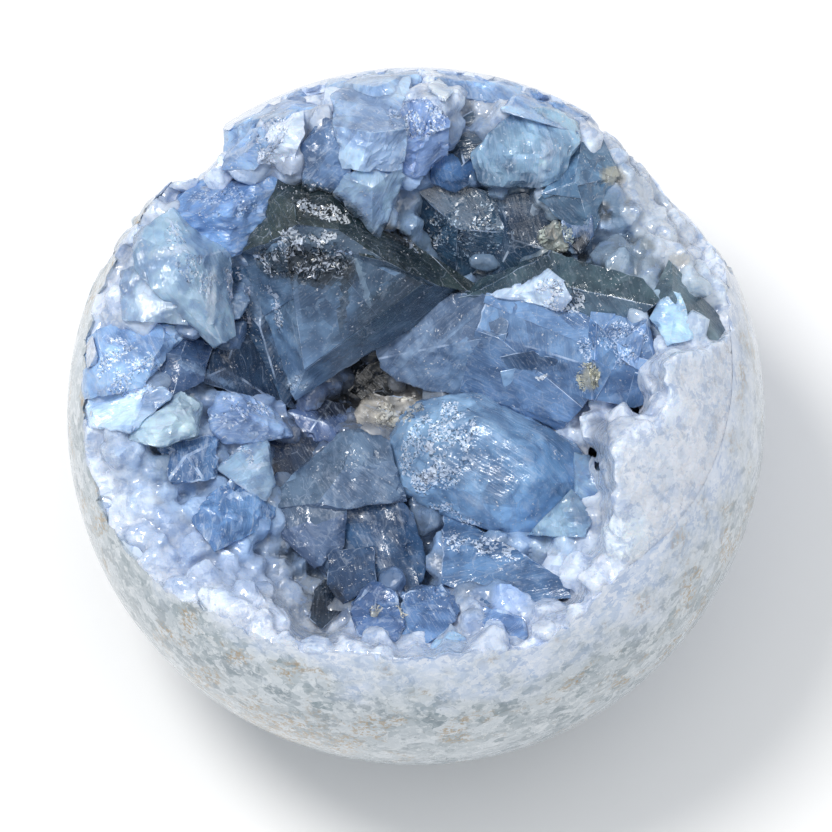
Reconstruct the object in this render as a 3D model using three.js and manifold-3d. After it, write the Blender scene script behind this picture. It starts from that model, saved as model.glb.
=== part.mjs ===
// Celestite geode ball: a polished ball of massive celestite with a hollow full of blue crystals
import * as THREE from 'three';
import { ConvexGeometry } from 'three/addons/geometries/ConvexGeometry.js';
import { mergeVertices } from 'three/addons/utils/BufferGeometryUtils.js';
import Module from 'manifold-3d';

const wasm = await Module();
wasm.setup();

// Sizes in millimetres
const BALL_RADIUS = 45;
const BASE_FLAT_RADIUS = 13;
const BALL_CENTRE_HEIGHT = Math.sqrt(BALL_RADIUS ** 2 - BASE_FLAT_RADIUS ** 2);
const BALL_DETAIL = 8;

// The crystals are placed in a view frame: x to the right, y up the ball's face, z out of the hollow
const HOLLOW_TILT = THREE.MathUtils.degToRad(18);

// The hollow in the massive rind
const HOLLOW = { centre: [-0.5, 4, 14], radii: [41, 39.5, 35], detail: 4 };
const CRUST_GAP = 0.3;

// The open edge of the hollow on the ball's face: direction in degrees, then distance from the middle
const RIM = [
  [-163, 41.8], [-145, 38.6], [-135, 35.4], [-124, 34.1], [-104, 30.7], [-89, 30.3], [-77, 30.2], [-62, 32.6],
  [-47, 32.5], [-36, 32], [-29, 30.5], [-25, 28.2], [-18, 25.5], [-10, 24.5], [-5, 28], [-1, 30.6], [5, 31.7],
  [12, 31], [15, 41.5], [30, 44.5], [58, 44.8], [66, 42.5], [75, 40.8], [90, 40.3], [105, 40.8], [118, 41.8],
  [130, 43], [160, 43.2], [175, 42.5],
];

// The bed between the crystals lies a little under their corners and climbs to the open edge
const BED = {
  rings: [0.13, 0.26, 0.4, 0.54, 0.67, 0.78, 0.87, 0.95, 1],
  sectors: 48,
  firstSector: -10,
  drop: 2.6,
  edgeDrop: 0.4,
  edgeStep: 2.5,
  edgeSlope: 0.15,
  clearance: 0.1,
  falloff: 2.5,
  roughness: 0.6,
  lid: 60,
};

// Small blunt crystals that stand all over the bed
const SMALL_CRYSTALS = { count: 60, seed: 7, width: [3, 6], rise: [0.2, 0.55], lean: 0.4, edgeMargin: 1.5 };

// The uneven six-sided block of a small crystal, in shares of its width
const BLOCK = {
  sides: 6,
  uneven: 18,
  reach: [0.37, 0.55],
  stretch: [0.7, 1],
  slant: 0.35,
  top: 0.8,
  root: 0.6,
};

// The crystals stand lower in the middle of the hollow than at its edge
const MIDDLE_SINK = 6;
const SINK_RADIUS = 32;

// A crystal's hidden foot is its visible form, let down into the bed and made smaller
const FOOT = { depth: 11, across: 0.92, high: 0.6 };

// Each large crystal: its corners as seen from the front
const LARGE_CRYSTALS = {
  great_dark: [
    [-17.2, 29.5, 15], [-12.7, 27.8, 16.5], [-8, 25.6, 17], [-4.5, 23, 17], [2.6, 19.8, 15.5],
    [5.1, 16.2, 14], [3.9, 14.9, 12.5], [-4.8, 9.4, 12.5], [-15, 3.1, 12.5], [-18.9, 14.9, 14],
    [-21.7, 21.3, 15], [-19.9, 24.2, 16], [-15, 24.6, 20], [-7.3, 20, 21.5], [-8.4, 9.5, 18],
  ],
  great_dark_foot: [
    [-24, 19.8, 11], [-19.9, 19.6, 13.5], [-16.5, 9, 11.5], [-15.4, 3.8, 9.5], [-18.2, 4.2, 9],
    [-22.4, 12, 10.5],
  ],
  long_blue_left: [
    [-4.8, 8.8, 8.5], [4.9, 15.3, 14], [10, 15.6, 17.5], [15.5, 9, 16.5], [13.2, 2, 13.5],
    [6.8, 2.7, 12], [0.4, 4.4, 9.5], [-4.5, 6.4, 7.5],
  ],
  long_blue_middle: [
    [9.4, 15.2, 18], [18.4, 13, 20.5], [24, 9.5, 21], [23.5, 2.1, 18.5], [18.4, -1.8, 15],
    [13.2, -0.3, 14], [10.5, 6, 16.5], [14, 7, 18.5],
  ],
  long_blue_right: [
    [18, 13.2, 20], [28.7, 12.1, 23], [30.2, 4.6, 23], [31.6, 3.1, 21], [27.4, 1.4, 20],
    [23.5, 2.1, 18.5], [19, 4.5, 18.5], [25, 8.5, 24],
  ],
  white_facet: [
    [9.2, 15.3, 17.5], [16.7, 18.6, 19.5], [18.8, 16.2, 21.5], [18.4, 13.2, 21.5], [14.5, 14.2, 20.5],
  ],
  grey_ridge: [
    [5.3, 16.2, 12], [10.7, 16.8, 16], [16.5, 20.5, 18], [23.5, 18.8, 19.5], [28.7, 16.9, 21],
    [30.3, 14.6, 21], [26.7, 12.3, 20.5], [18.4, 13.2, 19], [19, 17, 21],
  ],
  blue_lump: [
    [-3.1, -3.1, 13], [-1.8, -0.8, 13.5], [3, 2.1, 13.5], [7, 2.3, 14], [10.8, 1.7, 14.5],
    [16.5, -1.8, 15], [20.5, -4.5, 15], [19, -11.5, 16], [15.2, -14.6, 15.5], [10.7, -15.3, 15],
    [3, -13.4, 15], [-0.9, -10.8, 14.5], [-3.4, -7.5, 14], [3.6, -3.2, 19.5], [10.5, -3.2, 20.5],
    [15, -7.5, 20], [6.5, -10, 19.5],
  ],
  lump_side: [
    [16.8, -3, 15], [20.7, -4.4, 16], [23.5, -6.7, 17.5], [23.2, -10.6, 18], [20.3, -11, 18],
    [17.5, -12.5, 17.5], [18.5, -7.5, 18.5],
  ],
  grey_wedge: [
    [-9.5, -2, 15], [-7, -1.6, 15.5], [-4, -2.8, 15.5], [-3.5, -6.9, 16.5], [-2.8, -10.4, 17],
    [-9.3, -11.8, 20.5], [-13.8, -11.4, 20], [-17.4, -12.1, 17.5], [-17.2, -8.9, 15.5],
    [-13.8, -5.9, 15],
  ],
  grey_wedge_foot: [
    [-18.3, -11, 16.5], [-18.3, -15, 16.5], [-15, -16.8, 18], [-12.7, -19.6, 17.5],
    [-10, -17, 18], [-9.3, -11.8, 20], [-14, -12, 20],
  ],
  dark_lower: [
    [-9.3, -12, 17.5], [-2.8, -10.4, 17], [-0.9, -11.8, 15.5], [0.3, -14.8, 15], [1.1, -19.6, 16.5],
    [0.4, -21.4, 17.5], [-2, -22.8, 18], [-6, -18, 18.5], [-9.5, -16.5, 17],
  ],
  mid_blue_lower: [
    [-11, -17.3, 18], [-5.4, -16.6, 19], [-4.9, -21.1, 20.5], [-9.2, -23.7, 21.5], [-11.2, -21.3, 20],
  ],
  dark_chip: [
    [-11.5, -20.6, 18], [-9.2, -22.2, 19], [-9.2, -24.4, 21], [-11.8, -26.8, 21.5], [-13.4, -25.4, 20],
    [-12.8, -22, 18.5],
  ],
  bottom_left_blue: [
    [-8.6, -24.3, 21.5], [-5.4, -21.1, 21], [-2.4, -22.4, 22], [-1.5, -26, 24.5], [-2.5, -29, 25],
    [-7.3, -27.5, 24],
  ],
  bottom_middle_blue: [
    [-2, -22.6, 21], [3.4, -21.1, 20.5], [5.5, -23.7, 22], [5.6, -25.6, 24], [1.7, -28.5, 26],
    [-1.6, -29, 25.5],
  ],
  bottom_dome: [
    [1.8, -28.6, 25.5], [4.2, -26.4, 24.5], [6.4, -28, 25.5], [6.6, -30, 27], [4.5, -32, 28.5],
    [1.7, -31, 28],
  ],
  right_lower_blue: [
    [3.6, -14, 16], [10.7, -17.4, 19.5], [14.5, -18.4, 20], [18.4, -22.4, 20], [13.2, -23.7, 21.5],
    [8.1, -23.2, 21.5], [3.6, -21.1, 19.5],
  ],
  right_bottom_blue: [
    [8.1, -23.7, 22.5], [13.5, -25.2, 24.5], [13.9, -27.8, 26.5], [11.3, -28.6, 27], [7.5, -25.8, 25],
  ],
  small_prism: [
    [15.2, -14.7, 19.5], [18.4, -10.8, 20.5], [19.9, -9.8, 20], [22.2, -12.7, 21], [18.4, -15.3, 21],
  ],
  lower_left_blue: [
    [-28.3, -13.2, 20], [-27.2, -10.8, 19.5], [-24, -8.5, 18.5], [-21.5, -8.9, 18],
    [-17.6, -11.4, 17.5], [-18.2, -13.6, 19], [-22.1, -15.6, 21.5], [-25.4, -16.8, 22.5],
    [-23.5, -12.3, 22.5],
  ],
  striated: [
    [-25.1, -7, 17], [-22.8, -4.1, 15.5], [-19.9, -2.6, 15], [-18.9, -4.4, 16.5], [-18.3, -9.5, 18.5],
    [-19.2, -10.8, 19], [-21.5, -8.9, 19.5],
  ],
  left_facet_blue: [
    [-32.6, -4, 17], [-27.9, -2.9, 16], [-25.3, -3.1, 15.5], [-25.1, -7.2, 17.5], [-27.9, -8.2, 19],
    [-31.1, -8, 19], [-29, -5, 19.5],
  ],
  pillow: [
    [-26.5, 0.8, 15], [-25.9, 2.8, 14], [-22.8, 2.8, 12.5], [-19.9, 2.1, 12], [-17.4, -0.6, 12.5],
    [-16.6, -2.7, 13.5], [-21.4, -3.4, 16.5], [-24.7, -3.6, 17], [-26.1, -1.8, 17], [-22, 0, 17],
  ],
  cream: [
    [-36.1, -3.1, 20], [-35.9, -1.6, 19.5], [-32.4, 1.4, 18.5], [-29.5, 2.8, 17.5], [-27.7, 1.8, 17.5],
    [-27.9, -1.2, 19.5], [-28.5, -2.7, 20], [-32, -4.1, 21.5], [-35, -3.4, 21], [-31, -0.5, 21.8],
  ],
  left_dark_blue: [
    [-33.6, 4.6, 16], [-32.3, 8, 15.5], [-29.2, 10.5, 14], [-26, 8.9, 12.5], [-27, 4.4, 15.5],
    [-30.7, 2.6, 17], [-30, 7, 17.5],
  ],
  centre_dark_blue: [
    [-26, 8.9, 12.5], [-23.8, 11, 11], [-20, 10.2, 9.5], [-16.3, 2.8, 7.5], [-15.8, 1.2, 7.5],
    [-20.2, 2.3, 11.5], [-26.8, 4.4, 14.5], [-24.5, 6, 14.5],
  ],
  left_rim_upper: [
    [-42, 9.2, 14], [-40.7, 10.8, 14.5], [-36.9, 12.1, 15.5], [-31.1, 11.1, 15.5], [-29.2, 10.4, 14],
    [-31.5, 9.5, 17], [-33.2, 7.3, 18.5], [-33.8, 4.6, 18.5], [-39.2, 3, 20], [-42.5, 3, 15],
  ],
  left_rim_lower: [
    [-42.5, 3.5, 15], [-33.8, 4.6, 18], [-31.1, 3, 17.5], [-32.4, 1.2, 19], [-36, -1.5, 20.5],
    [-39, -1.6, 20.5], [-43, -0.5, 14],
  ],
  clear_upper: [
    [-35.7, 23.2, 16.5], [-34, 25, 15.5], [-31.6, 26, 15], [-27.9, 24, 14], [-26.2, 21.3, 15],
    [-24.8, 20.5, 15], [-23.6, 14.9, 15.5], [-24, 9.8, 17.5], [-25.1, 9.2, 17.5], [-27.9, 10.8, 17.5],
    [-29.2, 13.6, 19], [-32.4, 16.2, 20], [-35.6, 19.4, 18], [-29.4, 20, 20.5],
  ],
  clear_lower: [
    [-37.4, 18.5, 15.5], [-35.6, 18.9, 16.5], [-32.4, 16.2, 18], [-29.2, 13.6, 18.5],
    [-28.9, 11.6, 18], [-34.3, 12.3, 19], [-36.9, 12.1, 17.5], [-37.3, 14.9, 17.5],
  ],
  upper_left_blue: [
    [-30.7, 27, 10], [-27.9, 30, 10], [-22.8, 31, 12.5], [-17.6, 30.1, 14.5], [-17.9, 27.8, 15],
    [-19.9, 23.9, 15], [-21.7, 21.3, 14], [-24.5, 19.8, 13.5], [-26.6, 22.9, 14.5],
    [-30.5, 24.9, 14], [-24, 26.5, 18.5],
  ],
  top_left_blue: [
    [-24.6, 36, 10], [-19.9, 37.5, 14.5], [-18, 34, 20], [-20.5, 31, 17.5], [-24.5, 31.2, 16],
    [-21, 34.5, 19],
  ],
  top_sugar: [
    [-20, 38, 13], [-15, 38.4, 17.5], [-14.6, 34, 22], [-16, 30.5, 18], [-20, 32, 19], [-17, 34.5, 22.5],
  ],
  top_mid_dark: [
    [-14.6, 34, 19.5], [-12, 37.6, 20], [-8.3, 37, 21], [-8, 31, 19.5], [-9.5, 27.6, 17.5],
    [-14, 28.8, 17.5], [-11, 33, 21.5],
  ],
  top_pale: [
    [-9.9, 41, 15.5], [-6, 43.4, 10], [-2.2, 43, 12.8], [-1.6, 36, 22], [-3, 31, 20.2], [-8.6, 31.2, 20.5],
    [-9.9, 36, 22], [-5.5, 36, 24],
  ],
  top_point: [
    [-8.6, 30.6, 20], [-2.2, 31.4, 19.5], [-1.5, 30.3, 18.5], [-3.2, 25.9, 18], [-4.5, 23, 18.5],
    [-8, 25.8, 19.5], [-9.9, 28.8, 19], [-5.6, 28.6, 21.5],
  ],
  top_sparkle: [
    [-2.6, 34, 20], [-1.5, 39.5, 20], [2, 40, 19.5], [4.2, 37, 20], [4, 33, 17], [1, 30.5, 16.5],
    [-1.5, 30.5, 18], [0.8, 35.5, 22],
  ],
  top_striped_chip: [
    [1.6, 42.2, 15.3], [3.2, 43, 12.7], [4.8, 41.2, 17.3], [3.8, 39.8, 20.3], [2.4, 41, 18.2],
  ],
  pale_lump: [
    [7, 32.5, 15.5], [9.4, 36, 19], [13.2, 38.7, 17.5], [18, 39, 13], [20.6, 37, 14], [20.8, 34.4, 16],
    [18.6, 30.4, 16.5], [15.8, 28.8, 17], [11.3, 29, 17], [8.7, 29, 16.5], [7.4, 30.4, 16],
    [12.5, 33, 20.5], [17, 34, 19.5],
  ],
  right_face: [
    [20.9, 34.4, 13.5], [23.5, 35.4, 11], [25, 32.3, 11.5], [25.8, 30.3, 12], [23.5, 25.8, 14],
    [22.5, 23.3, 14.5], [18.4, 25.8, 16], [16.5, 28.6, 16.5], [20.3, 29.5, 18],
  ],
  top_right_blue: [
    [10.5, 38.5, 19.5], [13, 41, 13], [18.8, 40, 8.3], [22, 38.6, 7], [20.6, 35.8, 15], [15, 37.5, 18.5],
  ],
  dark_peak: [
    [3.6, 33, 13], [5.2, 37.5, 13], [8, 39.2, 12], [9.4, 38, 12.5], [8.4, 34, 14.5], [5.5, 31.5, 14.5],
  ],
  blue_under_peak: [
    [1.7, 31.6, 14], [3, 34, 13], [7.2, 33, 13.5], [7.6, 29.8, 14], [5, 28.4, 14], [2, 29.5, 14.5],
    [4.6, 31, 16.5],
  ],
  dark_upper_centre: [
    [-1.5, 29, 12], [1, 30.8, 11.5], [5, 28.6, 12], [10.7, 27.8, 12.5], [11, 22, 13],
    [5, 16.5, 10], [1.5, 21, 10], [5.5, 24, 14.5],
  ],
  dark_upper_right: [
    [9.5, 27.5, 12.5], [14, 28.2, 13], [17.5, 24.5, 13], [18.4, 20.5, 13.5], [16, 17.5, 12.5],
    [9, 17, 11], [12.5, 22.5, 14.5],
  ],
  small_blue_point: [
    [18.4, 26.4, 15], [22.2, 25.6, 15], [22.6, 22.8, 15.5], [20.9, 20.3, 16], [18.8, 22.4, 16.5],
  ],
  centre_rough: [
    [-7.8, 0.4, 7.5], [-6.2, 2.6, 6], [-1.5, 2.4, 7.5], [1.4, 1.4, 9], [0.8, -0.6, 9.5],
    [-3.2, -2.2, 9.5], [-7.2, -1.6, 9], [-2.8, 0.4, 10.5],
  ],
  centre_left_blade: [
    [-17.4, -0.6, 9], [-14.8, 2.4, 7], [-9.2, 1.6, 7], [-7.8, -1.5, 8.5], [-10.8, -4.6, 10],
    [-16.4, -3, 10], [-12.6, -0.6, 10.5],
  ],
  gap_floor: [
    [-19, -3, 11], [-15.4, -3.4, 9.5], [-11.2, -2.4, 9.5], [-13, -5.8, 11], [-17.2, -9, 13],
    [-18.6, -6.8, 12.5],
  ],
  centre_dark: [
    [-7.4, 8.4, 4], [-4.8, 9.2, 5], [-3.2, 6.4, 4], [-1.8, 3, 5], [-5.6, 1.6, 4.5], [-9, 3.4, 5],
  ],
  tan_rough: [
    [15.2, 22.6, 14.5], [17.7, 24.8, 15], [19.7, 23.3, 15.5], [19.4, 20.7, 16], [16.5, 20.7, 15.5],
  ],
  green_ridge: [
    [29.7, 14.9, 20], [31.9, 19, 18], [36.4, 14.9, 17], [40.6, 9.8, 14.5], [38.6, 8.7, 18.5],
    [33.2, 10.8, 22], [32.4, 15.5, 22],
  ],
  pale_point: [
    [29.3, 12.3, 21.5], [31.6, 15.8, 21.5], [33.2, 15.4, 22], [35.1, 9.8, 22], [31.5, 9, 24],
  ],
};

// Where the ball's edge is broken away: direction in degrees, then the distance left from the middle
const BREAKS = [
  [
    [119, 46], [123, 45.2], [125.4, 42.2], [128, 41.2], [130, 40.8], [133, 41.3], [136, 43], [140, 43.5],
    [146, 43.9], [155, 44.3], [162, 45.3],
  ],
  [
    [18, 45.6], [22, 44.9], [28, 44.1], [33, 43.4], [38, 42.9], [42, 42.6], [47, 43.3], [51, 43.5],
    [56, 43.7], [60, 44.6], [64, 45.5],
  ],
];

// The broken wall: heights of its corners, how it runs out below, how rough it is, and the cut's far side
const BREAK_WALL = {
  levels: [-24, -10, -4, 2, 8, 14, 20, 50],
  runsOut: 0.3,
  runsOutFrom: -10,
  roughness: 0.35,
  far: 70,
};

const COLOURS = { rind: 0xaebfcb, crystals: 0x6f93bd };

// Small helpers

function randomSource(seed) {
  let state = seed;
  return (low, high) => {
    state = (state * 1664525 + 1013904223) % 4294967296;
    return low + (high - low) * (state / 4294967296);
  };
}

function vector(list) {
  return new THREE.Vector3(...list);
}

function inWorld(geometry) {
  geometry.rotateX(HOLLOW_TILT);
  geometry.translate(0, 0, BALL_CENTRE_HEIGHT);
  return geometry;
}

function solid(geometry) {
  const bare = geometry.clone();
  bare.deleteAttribute('normal');
  bare.deleteAttribute('uv');
  const merged = mergeVertices(bare, 1e-4);
  return new wasm.Manifold(new wasm.Mesh({
    numProp: 3,
    vertProperties: new Float32Array(merged.attributes.position.array),
    triVerts: new Uint32Array(merged.index.array),
  }));
}

function meshOf(body, name, material) {
  const result = body.getMesh();
  const geometry = new THREE.BufferGeometry();
  geometry.setAttribute('position', new THREE.BufferAttribute(result.vertProperties, 3));
  geometry.setIndex(new THREE.BufferAttribute(result.triVerts, 1));
  geometry.computeVertexNormals();
  const mesh = new THREE.Mesh(geometry, material);
  mesh.name = name;
  return mesh;
}

function join(bodies) {
  return bodies.reduce((whole, body) => whole.add(body));
}

// The ball and its hollow

function ball(radius) {
  return solid(inWorld(new THREE.IcosahedronGeometry(radius, BALL_DETAIL)));
}

function baseCutter() {
  const below = new THREE.BoxGeometry(4 * BALL_RADIUS, 4 * BALL_RADIUS, BALL_RADIUS);
  below.translate(0, 0, -BALL_RADIUS / 2);
  return solid(below);
}

function ellipsoid({ centre, radii, detail }, shrink) {
  const geometry = new THREE.IcosahedronGeometry(1, detail);
  geometry.scale(radii[0] - shrink, radii[1] - shrink, radii[2] - shrink);
  geometry.translate(...centre);
  return solid(inWorld(geometry));
}

function indexed(points, triangles) {
  const geometry = new THREE.BufferGeometry();
  geometry.setAttribute('position', new THREE.Float32BufferAttribute(points.flat(), 3));
  geometry.setIndex(triangles.flat());
  return geometry;
}

function breakCutter(edge, random) {
  const { levels, runsOut, runsOutFrom, roughness, far } = BREAK_WALL;
  const wall = levels.flatMap((level) => edge.map(([angle, limit]) => {
    const turn = THREE.MathUtils.degToRad(angle);
    const radius = limit + runsOut * Math.max(0, runsOutFrom - level) + random(-roughness, roughness);
    return [radius * Math.cos(turn), radius * Math.sin(turn), level];
  }));
  const back = levels.flatMap((level) => edge.map(([angle]) => {
    const turn = THREE.MathUtils.degToRad(angle);
    return [far * Math.cos(turn), far * Math.sin(turn), level];
  }));
  const across = edge.length;
  const behind = wall.length;
  const triangles = [];
  for (let row = 0; row < levels.length - 1; row += 1) {
    for (let column = 0; column < across - 1; column += 1) {
      const a = row * across + column;
      const b = a + 1;
      const c = a + across;
      const d = c + 1;
      triangles.push([a, c, b], [b, c, d]);
      triangles.push([a + behind, b + behind, c + behind], [b + behind, d + behind, c + behind]);
    }
  }
  const last = (levels.length - 1) * across;
  const ring = [];
  for (let column = 0; column < across - 1; column += 1) {
    ring.push(column);
  }
  for (let row = 0; row < levels.length - 1; row += 1) {
    ring.push(row * across + across - 1);
  }
  for (let column = across - 1; column > 0; column -= 1) {
    ring.push(last + column);
  }
  for (let row = levels.length - 1; row > 0; row -= 1) {
    ring.push(row * across);
  }
  ring.forEach((a, index) => {
    const b = ring[(index + 1) % ring.length];
    triangles.push([a, b, b + behind], [a, b + behind, a + behind]);
  });
  return solid(inWorld(indexed([...wall, ...back], triangles)));
}

// The bed

function rimRadius(angle) {
  const turns = RIM.length;
  for (let i = 0; i < turns; i += 1) {
    const [from, start] = RIM[i];
    const [to, end] = RIM[(i + 1) % turns];
    const span = THREE.MathUtils.euclideanModulo(to - from, 360);
    const past = THREE.MathUtils.euclideanModulo(angle - from, 360);
    if (past <= span) {
      return THREE.MathUtils.lerp(start, end, past / span);
    }
  }
  return BALL_RADIUS;
}

function ballHeight(x, y) {
  return Math.sqrt(Math.max(0, BALL_RADIUS ** 2 - x * x - y * y));
}

function onRim(angle, share) {
  const turn = THREE.MathUtils.degToRad(angle);
  const radius = share * rimRadius(angle);
  return [radius * Math.cos(turn), radius * Math.sin(turn)];
}

function bedAnchors() {
  const corners = Object.values(LARGE_CRYSTALS).flatMap((corners) => corners.map(sunk));
  const anchors = corners.map(({ x, y, z }) => [x, y, z - BED.drop]);
  for (let angle = 0; angle < 360; angle += BED.edgeStep) {
    const [x, y] = onRim(angle, 1);
    anchors.push([x, y, ballHeight(x, y) - BED.edgeDrop]);
  }
  return anchors;
}

function bedHeight(x, y, anchors) {
  let sum = 0;
  let total = 0;
  for (const [ax, ay, height] of anchors) {
    const weight = ((x - ax) ** 2 + (y - ay) ** 2 + 1) ** -BED.falloff;
    sum += weight * height;
    total += weight;
  }
  const angle = THREE.MathUtils.radToDeg(Math.atan2(y, x));
  const inward = rimRadius(angle) - Math.hypot(x, y);
  return Math.min(sum / total, ballHeight(x, y) - BED.clearance - BED.edgeSlope * inward);
}

function openSpace(anchors, random) {
  const { rings, sectors, firstSector, roughness, lid } = BED;
  const points = [[0, 0, bedHeight(0, 0, anchors)], [0, 0, lid]];
  const angles = Array.from({ length: sectors }, (unused, index) => firstSector + (index * 360) / sectors);
  for (const share of rings) {
    for (const angle of angles) {
      const [x, y] = onRim(angle, share);
      const low = bedHeight(x, y, anchors) + random(-roughness, roughness);
      points.push([x, y, share < 1 ? low : ballHeight(x, y) + roughness]);
    }
  }
  for (const angle of angles) {
    points.push([...onRim(angle, 1), lid]);
  }
  const triangles = [];
  for (let sector = 0; sector < sectors; sector += 1) {
    const next = (sector + 1) % sectors;
    const lidRing = 2 + rings.length * sectors;
    triangles.push([0, 2 + next, 2 + sector], [1, lidRing + sector, lidRing + next]);
    for (let ring = 0; ring < rings.length; ring += 1) {
      const inner = 2 + ring * sectors;
      const outer = inner + sectors;
      triangles.push([inner + sector, inner + next, outer + next]);
      triangles.push([inner + sector, outer + next, outer + sector]);
    }
  }
  return solid(inWorld(indexed(points, triangles)));
}

// Crystals

function sunk([x, y, z]) {
  const nearness = 1 - (x * x + y * y) / SINK_RADIUS ** 2;
  return new THREE.Vector3(x, y, z - MIDDLE_SINK * Math.max(0, nearness));
}

function largeCrystal(corners) {
  const front = corners.map(sunk);
  const middle = front.reduce((sum, corner) => sum.add(corner), new THREE.Vector3());
  middle.divideScalar(front.length);
  const smaller = new THREE.Vector3(FOOT.across, FOOT.across, FOOT.high);
  const foot = front.map((corner) => corner.clone().sub(middle).multiply(smaller).add(middle));
  foot.forEach((corner) => corner.setZ(corner.z - FOOT.depth));
  return solid(inWorld(new ConvexGeometry([...front, ...foot])));
}

function block(width, length, random) {
  const { sides, uneven, reach, stretch, slant, top, root } = BLOCK;
  const slantX = random(-slant, slant);
  const slantY = random(-slant, slant);
  const flatness = random(...stretch);
  const points = [];
  for (let corner = 0; corner < sides; corner += 1) {
    const turn = THREE.MathUtils.degToRad((360 / sides) * corner + random(-uneven, uneven));
    const radius = width * random(...reach);
    const x = radius * Math.cos(turn);
    const y = radius * flatness * Math.sin(turn);
    points.push(new THREE.Vector3(x, y, -width * root));
    points.push(new THREE.Vector3(x * top, y * top, length + x * slantX + y * slantY));
  }
  return points;
}

function smallCrystals(anchors, random) {
  const { count, width, rise, lean, edgeMargin } = SMALL_CRYSTALS;
  const bodies = [];
  while (bodies.length < count) {
    const angle = random(0, 360);
    const [x, y] = onRim(angle, Math.sqrt(random(0, 1)));
    if (rimRadius(angle) - Math.hypot(x, y) < edgeMargin) {
      continue;
    }
    const foot = new THREE.Vector3(x, y, bedHeight(x, y, anchors));
    const axis = new THREE.Vector3(random(-lean, lean), random(-lean, lean), 1).normalize();
    const aim = new THREE.Quaternion().setFromUnitVectors(new THREE.Vector3(0, 0, 1), axis);
    const size = random(...width);
    const points = block(size, size * random(...rise), random);
    for (const point of points) {
      point.applyQuaternion(aim).add(foot);
    }
    bodies.push(solid(inWorld(new ConvexGeometry(points))));
  }
  return bodies;
}

// The two pieces

const random = randomSource(SMALL_CRYSTALS.seed);
const anchors = bedAnchors();
const breaks = join(BREAKS.map((edge) => breakCutter(edge, random)));
const brokenBall = ball(BALL_RADIUS).subtract(baseCutter()).subtract(breaks);
const open = openSpace(anchors, random);

function geodeShell() {
  return brokenBall.subtract(open).subtract(ellipsoid(HOLLOW, 0));
}

function crystalCrust() {
  const backing = brokenBall.intersect(ellipsoid(HOLLOW, CRUST_GAP));
  const large = Object.values(LARGE_CRYSTALS).map(largeCrystal);
  const crystals = join([...large, ...smallCrystals(anchors, random)]);
  return backing.subtract(open).add(crystals.intersect(backing));
}

function largestBody(body) {
  const bodies = body.decompose();
  return bodies.reduce((largest, next) => (next.volume() > largest.volume() ? next : largest));
}

const rindMaterial = new THREE.MeshStandardMaterial({ color: COLOURS.rind, roughness: 0.25, metalness: 0 });
const crystalMaterial = new THREE.MeshStandardMaterial({
  color: COLOURS.crystals,
  roughness: 0.1,
  metalness: 0,
});

const celestiteGeode = new THREE.Group();
celestiteGeode.add(meshOf(largestBody(geodeShell()), 'geode_shell', rindMaterial));
celestiteGeode.add(meshOf(largestBody(crystalCrust()), 'crystal_crust', crystalMaterial));

export default celestiteGeode;
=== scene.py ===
"""Looks of the celestite geode ball: a polished rind around a hollow full of blue crystals."""
import math
import random
from collections import namedtuple

import bmesh
import bpy
import numpy as np
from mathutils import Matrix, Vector, noise
from mathutils.bvhtree import BVHTree


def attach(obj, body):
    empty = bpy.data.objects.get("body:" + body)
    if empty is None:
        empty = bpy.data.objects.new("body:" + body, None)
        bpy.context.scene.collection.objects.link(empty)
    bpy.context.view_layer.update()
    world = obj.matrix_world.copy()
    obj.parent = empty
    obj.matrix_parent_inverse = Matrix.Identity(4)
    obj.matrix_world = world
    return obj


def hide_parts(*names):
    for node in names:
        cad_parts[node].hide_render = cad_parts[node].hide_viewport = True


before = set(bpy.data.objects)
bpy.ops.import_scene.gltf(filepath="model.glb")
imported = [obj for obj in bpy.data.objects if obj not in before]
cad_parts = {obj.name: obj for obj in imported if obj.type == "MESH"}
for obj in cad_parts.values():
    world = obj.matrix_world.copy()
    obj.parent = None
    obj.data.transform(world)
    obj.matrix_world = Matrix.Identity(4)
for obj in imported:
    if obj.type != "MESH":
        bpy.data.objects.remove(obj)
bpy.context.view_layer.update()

# Sizes in millimetres in the view frame: x to the right, y up the face of the ball, z out of the hollow
MM = 0.001
CAD_RADIUS = 45
BALL_RADIUS = 44.86
BALL_DETAIL = 6
BASE_FLAT_RADIUS = 13
BALL_CENTRE_HEIGHT = math.sqrt(CAD_RADIUS ** 2 - BASE_FLAT_RADIUS ** 2)
HOLLOW_TILT = math.radians(18)
HOLLOW_CENTRE, HOLLOW_RADII = (-0.5, 4, 14), (41, 39.5, 35)

# Where the stone stays whole under the left break, below the lining
PLUG_CENTRE, PLUG_RADII = (-27, 32, 0), (11, 11, 8)

# A large crystal's visible front is widened a little, and its foot stands deeper and narrower
FRONT_SCALE, FOOT_DEPTH, FOOT_SCALE = 1.05, 11, 0.92

# The crystals near the middle stand lower than first noted, and the bed lies below their corners
MIDDLE_SINK, SINK_RADIUS = 6, 32
BED_DROP = 2.6

# Facets that lean within the spread become one; a patch of glints is cut down to the glint size
FACET_SPREAD, GLINT_SIZE = math.radians(25), 0.45

# How much the brightness of one facet differs from the next
FACET_CONTRAST = 0.12

# The lining: size of its cells, how far it reaches below the bed, how far it stays inside the ball's face
MASS_CELL, MASS_DEPTH, SKIN = 0.44, 4.5, 0.02

# The lining's colours: steps of running together, steps and strength of the shade in its pits
COLOUR_RUN, PIT_REACH, PIT_SHADE = 1, 7, 1.0

# How far in from the hollow's edge the lining is icy, the colour of the rim, and of worn edges (partly a
# painted highlight)
ICE_REACH = 16
RIM_TINT, EDGE_TINT = (216, 226, 244), (196, 211, 236)

# Celestite bends light this much; a little light runs this far in under the surface, red the least
CELESTITE_IOR = 1.62
GLOW_RADIUS = (0.6, 0.8, 1.0)

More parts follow.
